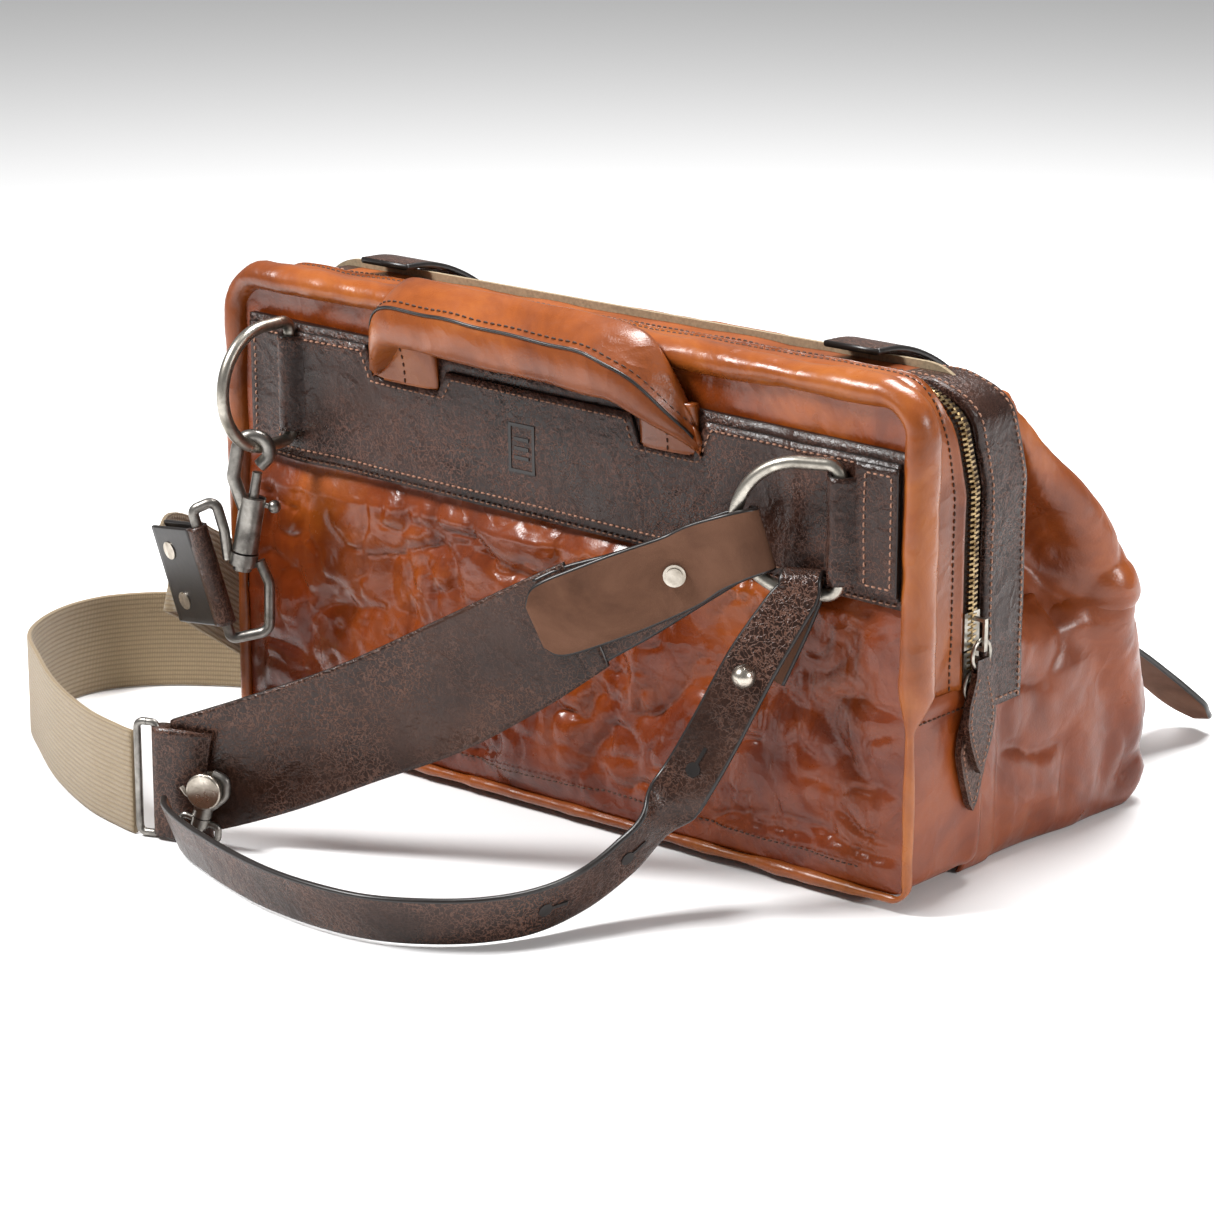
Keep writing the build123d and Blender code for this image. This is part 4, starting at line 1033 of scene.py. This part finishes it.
def outside(points, lean=0.0):
    """Stations for a strap on its edge along plan points."""
    p = np.array(points, float)
    run = unit(np.gradient(p, axis=0) * np.array([1, 1, 0]))
    side = np.stack([-run[:, 1], run[:, 0], 0 * run[:, 0]], -1)
    up = np.array([0, 0, 1.0]) * math.cos(math.radians(lean)) + side * math.sin(math.radians(lean))
    return p, up


HOOK_UP = np.array([0.133, 0.112, 0.985])
HOOK_AT = np.array([-157.1, -38.5, 107.2])
BOW_SIDE = np.array([0.764, 0.645, 0])


def bow_point(right, up):
    """A point on the wire loop that the hook tab hangs from."""
    return HOOK_AT - HOOK_UP * 3 + BOW_SIDE * right + np.array([0, 0, 1.0]) * up


BAR_RUN = unit(bow_point(-24, 24) - bow_point(-7, -40))
TAB_FACE = unit(np.cross(BAR_RUN, np.array([-0.985, 0.17, 0])))
TAB_OUT = unit(np.cross(TAB_FACE, BAR_RUN))
TAB_MID = (bow_point(-24, 24) + bow_point(-7, -40)) * 0.5


def tab_point(out, along, lift=0.0):
    """A point on the hook tab."""
    return TAB_MID + TAB_OUT * out + BAR_RUN * along + TAB_FACE * lift


def make_webbing():
    """Webbing on its edge on the floor, and its climb to the hook tab."""
    p, up = outside(WEB_FLOOR)
    o, *_ = strap("webbing_floor", [(*q, 50, *u) for q, u in zip(p, up)], WEB_THICK, [WEB], step=2.5,
                  across=16)
    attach(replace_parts(o, "webbing"), "bag")
    rows = [(*tab_point(t, 0), 48, *BAR_RUN) for t in (31, 35)]
    climb = [((-216, -30, 90), (0.10, -0.10, 0.99)), ((-222, -5, 76), (0, -0.2, 0.98)),
             ((-222, 22, 58), (0, -0.15, 0.99)),
             ((-222, 44, 42), (0, -0.05, 1)), ((-229, 54, 31), (0, 0, 1)),
             ((-242.4, 52.4, 25.2), (0, 0, 1))]
    rows += [(*q, WEB_WIDTH, *c) for q, c in climb]
    o, *_ = strap("webbing_climb", rows, WEB_THICK, [WEB], step=2.5, across=16)
    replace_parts(o, "webbing_rise")
    metres((-225, 45, 40))
    metres(tuple(tab_point(34, 0)))
    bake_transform(o)


def make_hook_tab():
    """Two leather faces and the fold that holds the bar."""
    for k, lift in enumerate((-3.6, 3.6)):
        rows = [(*tab_point(t, 0, lift * (1 if t > 6 else 0.98)), 50, *BAR_RUN) for t in (2, 8, 16, 24, 35)]
        o, *_ = strap("hook_tab_face_" + "ab"[k], rows, 2.3, [STRAP, EDGE], wave=0.5)
        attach(o, "hook_base")
        if k == 0:
            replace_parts(o, "hook_tab")
    ang = np.linspace(math.pi / 2, math.pi * 1.5, 14)
    prof = [(math.cos(a) * 4.75, math.sin(a) * 4.75) for a in ang] + [(3, -4.75),
            (3, -2.6)] + [(math.cos(a) * 2.9, math.sin(a) * 2.9) for a in ang[::-1]] + [(3, 2.6), (3, 4.75)]
    rows = np.array([[tab_point(u, along, v) for u, v in prof] for along in np.linspace(-25, 25, 26)])
    o = tube_mesh("hook_tab_fold", rows, [STRAP])
    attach(o, "hook_base")


def wide_point(u, v):
    """A point on the wide pad: u along its length, v across from the low edge to the high one."""
    top = spline([(-111, 57, 0), (-73, 73, 0), (-32, 92, 0), (11, 117, 0), (50, 140, 0), (66, 149, 0)], 60)
    low = spline([(-111, 2, 0), (-91, 6, 0), (-55, 20, 0), (-18, 38, 0), (21, 57, 0), (57, 81, 0),
                  (86, 104, 0)], 60)
    k = u * 59
    a = np.array([np.interp(k, range(60), top[:, c]) for c in range(2)])
    b = np.array([np.interp(k, range(60), low[:, c]) for c in range(2)])
    x, z = b + (a - b) * v
    d = np.interp(x, [-112, -73, -32, 12, 50, 84], [-133.5, -119.5, -102.5, -85, -71, -57])
    return np.array([x, d, z])


def make_wide():
    """Wide pad, its folded end, and the neck and return at the ring."""
    us, vs = np.linspace(0, 1, int(110 * FINE)), np.linspace(0, 1, 30)
    mid = np.array([[wide_point(u, v) for v in vs] for u in us])
    n = np.array([0.365, -0.93, 0])
    bow = lumps(mid, 60, 4, 2.0) + lumps(mid, 24, 6, 0.8)
    front = mid + n * (1.7 + bow)[..., None]
    back = mid + n * (-1.5 + bow)[..., None]
    o = sheet_solid("strap_pad", front, back, [STRAP, EDGE, FLESH], edge=1, back_slot=2)
    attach(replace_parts(o, "strap_wide"), "bag")
    run = np.array([0.93, 0.365, 0])
    rows = []
    base = np.array([-114.6, -136.3, 0])
    for z in np.linspace(2, 54, 20):
        reach = 15 - 4 * math.sin(math.pi * z / 56)
        fold = [(math.cos(a) * 4.8, math.sin(a) * 4.8) for a in np.linspace(math.pi * 0.5, math.pi * 1.5, 12)]
        fold += [(6, -4.9), (6, 2.0), (reach + 12, 2.6), (reach + 12.6, 4.0), (reach + 12, 5.2), (5, 5.3)]
        rows.append([base + run * u + n * v + np.array([0, 0, z]) for u, v in fold])
    o = tube_mesh("strap_pad_hem", np.array(rows), [STRAP])
    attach(o, "bag")
    rows = []
    for (p, w, nn) in (((66, -66.5, 120), 49, (0.4, -0.92)), ((74.8, -60.4, 126.2), 47, (0.4, -0.92)),
                       ((91, -50, 135), 42, (0.5, -0.87)),
                       ((110, -35.5, 147), 36, (0.6, -0.8)), ((126, -23, 158), 32, (0.5, -0.87)),
                       ((135.2, -17.9, 163), 29, (0.43, -0.9))):
        rows.append((*p, w, -0.36 * -nn[1], -0.36 * nn[0], 0.92))
    o, *_ = strap("strap_neck_leather", rows, STRAP_THICK, [STRAP, EDGE, FLESH], wave=0.6)
    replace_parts(o, "strap_neck")
    metres((74, -61, 125))
    metres((135, -18, 163))
    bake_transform(o)
    route = [((135.9, -17.6, 163.2), 29), ((141.2, -18.8, 163.6), 29), ((142.6, -22.6, 163.8), 29),
             ((140.2, -27.6, 163.2), 30),
             ((134.5, -32.0, 161), 31), ((122, -36.4, 155), 33), ((111, -40.9, 147.5), 35),
             ((95, -52.4, 139), 37), ((80, -61.8, 131.5), 37), ((68, -69.5, 125.6), 36),
             ((62, -72.6, 122.4), 32), ((58.5, -74.4, 120.6), 22)]
    rows = [(*p, w, -0.30, -0.14, 0.95) for p, w in route]
    o, *_ = strap("strap_return_leather", rows, STRAP_THICK, [STRAP, EDGE, FLESH], wave=0.5, step=1.6)
    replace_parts(o, "strap_return")
    metres((70, -68, 126))
    metres((135, -30, 163))
    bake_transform(o)


NARROW_FLOOR = [(-104, -141.5, 14), (-100.5, -144.5, 14), (-92, -152, 14), (-72, -161, 14),
                (-42, -171, 13.5), (-8, -178, 13), (24, -180, 13),
                (52, -176, 13), (74, -164, 13), (92, -146, 13), (103, -124, 14), (110, -102, 19),
                (117, -83, 30), (124, -70, 44), (131, -60, 60)]


# Places of the slots and the stud, as shares of the narrow strap's length
SLOT_SHARES = (0.492, 0.583, 0.683)
STUD_SHARE = 0.779
STUD_RADIUS, STUD_HEIGHT = 5.4, 6.0
TOWARDS_VIEW = (0.62, -0.73, 0.28)
SLOT_RADIUS, SLOT_REACH, SLOT_HALF, SLOT_LIFT = 3.3, 11, 0.8, 2.0
NARROW_TURN = (-0.93, -0.37, 0)


def make_narrow():
    """Narrow strap along the floor and up through the ring."""
    p, up = outside(NARROW_FLOOR[1:-1], -20)
    rows = [(*q, 25, *u) for q, u in zip(p, up)]
    route = [((131.6, -59.3, 61), 25, (-0.74, -0.12, 0.66)), ((140, -49, 84), 24.5, (-0.86, -0.25, 0.44)),
             ((149, -37, 112), 24, (-0.91, -0.32, 0.2)),
             ((157.5, -25.5, 134), 22, (-0.93, -0.36, 0.08)), ((161.4, -20.4, 143), 20, NARROW_TURN),
             ((161.0, -18.8, 148.6), 19, NARROW_TURN),
             ((159.2, -14.1, 151), 19, NARROW_TURN), ((157.4, -9.6, 148.6), 19, NARROW_TURN),
             ((156.4, -9.4, 142), 19, NARROW_TURN),
             ((152.5, -14.5, 127), 20, NARROW_TURN), ((146, -24, 104), 21, NARROW_TURN)]
    rows += [(*q, w, *c) for q, w, c in route]
    o, s, a, n = strap("strap_tail", rows, STRAP_THICK, [STRAP, EDGE, FLESH], wave=0.8, seed=9, across=14)
    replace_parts(o, "strap_narrow", "narrow_rise")
    metres((133, -58, 64))
    metres((160, -20, 145))
    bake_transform(o)
    # The slots are dark inlays of painted shade, not cut holes.
    make_holes("strap_tail_slot_shade", s, a, n, SLOT_SHARES, "bag")
    i = int(STUD_SHARE * (len(s) - 1))
    towards = n[i] * np.sign(np.dot(n[i], TOWARDS_VIEW))
    o = dome("strap_tail_stud", s[i, :3] + towards * 1.6, towards, STUD_RADIUS, STUD_HEIGHT, BRIGHT)
    metres((133, -58, 64))
    metres((160, -20, 145))
    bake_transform(o)


def make_holes(name, s, a, n, places, body):
    """Keyhole slots in the narrow strap: a dark round hole and a slit, not cut but drawn as thin dark inlays,
    which are painted shade in place of the holes.
    """
    verts, faces = [], []
    for share in places:
        i = int(share * (len(s) - 1))
        c, run = s[i, :3], unit(np.cross(a[i], n[i]))
        angles = np.linspace(0.25, 2 * math.pi - 0.25, 18)
        shape = [(SLOT_RADIUS * math.cos(t), SLOT_RADIUS * math.sin(t)) for t in angles]
        shape += [(SLOT_REACH, -SLOT_HALF), (SLOT_REACH, SLOT_HALF)]
        for lift in (SLOT_LIFT, -SLOT_LIFT):
            base = len(verts)
            for u, v in shape:
                verts.append(c + run * u + a[i] * v + n[i] * lift)
            ring = list(range(base, base + len(shape)))
            faces.append(ring if lift > 0 else ring[::-1])
        m = len(shape)
        for j in range(m):
            k = (j + 1) % m
            faces.append([base - m + j, base + j, base + k, base - m + k])
    o = outwards(build(name, verts, faces, [EDGE], smooth=False))
    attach(o, body)


# ---- hardware that keeps its shape

def dome(name, centre, axis, radius, height, mat, skirt=0.8):
    """A low rivet or stud head."""
    z = unit(np.array(axis, float))
    x = unit(np.cross(z, (0.3, 0.5, 0.81)))
    yv = np.cross(z, x)
    rings = [(radius * 0.9, -skirt), (radius, -skirt * 0.5), (radius, 0.0)]
    rings += [(radius * math.cos(t), height * math.sin(t)) for t in np.linspace(0.2, 1.45, 7)]
    ang = full_turn(28)
    rows = np.array([[np.array(centre) + x * math.cos(a) * r + yv * math.sin(a) * r + z * h for a in ang]
                     for r, h in rings])
    return tube_mesh(name, rows, [mat])


def paint_cad():
    """Materials for the solids that keep their shape."""
    looks = {"d_ring_left": NICKEL, "d_ring_right": NICKEL, "snap_hook": GUN, "snap_bolt": GUN,
             "swivel_eye": GUN, "wire_loop": GUN,
             "clasp_body": GUN, "clasp_pin": GUN, "clasp_lever": BRIGHT, "clasp_bow": GUN,
             "clasp_stud": BRIGHT, "strap_rivets": BRIGHT,
             "hook_tab_rivets": BRIGHT, "strap_stud": BRIGHT, "snap_disc_left": BRASS,
             "snap_disc_right": BRASS, "snap_sockets": BRASS,
             "zip_slider_upper": NICKEL, "zip_slider_lower": NICKEL, "pull_ring_upper": NICKEL,
             "pull_ring_lower": NICKEL,
             "divider_panel": LINING, "base_board": BOARD, "rear_frame": STEEL, "front_frame": STEEL,
             "hinge_pins": STEEL,
             "pull_tab_upper": STRAP, "pull_tab_lower": STRAP}
    for name, mat in looks.items():
        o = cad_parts[name]
        o.data.materials.clear()
        o.data.materials.append(mat)
        for p in o.data.polygons:
            p.use_smooth = True
        o.data.set_sharp_from_angle(angle=math.radians(35))


def make_pull_tabs():
    """Stitches round the two leather pulls."""
    for word, x, top, length in (("upper", 208.7, 115.2, 53), ("lower", 205.0, 100.0, 56)):
        t0 = top - 8.5
        half = [(4.5, 0), (4.8, 8), (9.5, 20), (10.5, 28), (8, 38), (3, length - 4)]
        inset = [(50 + d - 2.2, t0 - z) for d, z in half[1:]] + [(50, t0 - length + 3.4)] + [(50 - d + 2.2,
                t0 - z) for d, z in half[:0:-1]]
        face = x + 1.62
        pts = [(face, d, z) for d, z in inset]
        s = stitches("pull_tab_stitches_" + word, [(pts, (1, 0, 0))], PINK_THREAD, pitch=3.0, length=2.0,
                     radius=0.3)
        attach(s, "pull_" + word)


# ---- stage

AZIMUTH, ELEVATION = 40.2, 16.5
CAMERA_DISTANCE, CAMERA_LENS = 1.966, 121.1
CAMERA_TARGET = (-0.031, -0.023, 0.0775)
WORLD_LIGHT = 0.26
FLOOR_HALF, FLOOR_Z = 6, -0.0004
# name, place, size, power
LIGHTS = (("key", (-0.7, -1.1, 1.6), 0.5, 50), ("side", (2.0, 0.3, 0.9), 0.45, 18),
          ("top", (0.0, 0.6, 1.7), 0.7, 42))


def make_stage():
    """Pale floor, soft lights and the camera."""
    floor = bpy.data.meshes.new("floor")
    corners = [(x * FLOOR_HALF, y * FLOOR_HALF, FLOOR_Z) for x, y in ((-1, -1), (1, -1), (1, 1), (-1, 1))]
    floor.from_pydata(corners, [], [(0, 1, 2, 3)])
    f = bpy.data.objects.new("floor", floor)
    bpy.context.scene.collection.objects.link(f)
    m, _, b = new_material("floor_white")
    b.inputs["Base Color"].default_value = (0.9, 0.9, 0.9, 1)
    b.inputs["Roughness"].default_value = 0.9
    floor.materials.append(m)
    world = bpy.data.worlds.new("studio")
    bpy.context.scene.world = world
    world.use_nodes = True
    world.node_tree.nodes["Background"].inputs[0].default_value = (1, 1, 1, 1)
    world.node_tree.nodes["Background"].inputs[1].default_value = WORLD_LIGHT
    for name, place, size, power in LIGHTS:
        light = bpy.data.lights.new(name, "AREA")
        light.energy = power
        light.size = size
        o = bpy.data.objects.new(name, light)
        o.location = place
        o.rotation_euler = (Vector((0, 0, 0.1)) - Vector(place)).to_track_quat("-Z", "Y").to_euler()
        bpy.context.scene.collection.objects.link(o)
    az, el = math.radians(AZIMUTH), math.radians(ELEVATION)
    back = Vector((math.sin(az) * math.cos(el), -math.cos(az) * math.cos(el), math.sin(el)))
    cam = bpy.data.cameras.new("camera")
    cam.lens = CAMERA_LENS
    cam.sensor_width = 36
    cam.clip_end = 50
    c = bpy.data.objects.new("camera", cam)
    c.location = Vector(CAMERA_TARGET) + back * CAMERA_DISTANCE
    c.rotation_mode = "QUATERNION"
    c.rotation_quaternion = (-back).to_track_quat("-Z", "Y")
    bpy.context.scene.collection.objects.link(c)
    bpy.context.scene.camera = c
    bpy.context.scene.view_settings.view_transform = "Standard"


make_panel()
make_rim()
make_rear_gusset()
make_zip()
make_zip_strip()
make_lower_gusset()
make_body()
make_band()
make_handle()
make_handle_tabs()
make_closing_straps()
make_webbing()
make_hook_tab()
make_wide()
make_narrow()
make_pull_tabs()
paint_cad()
make_stage()
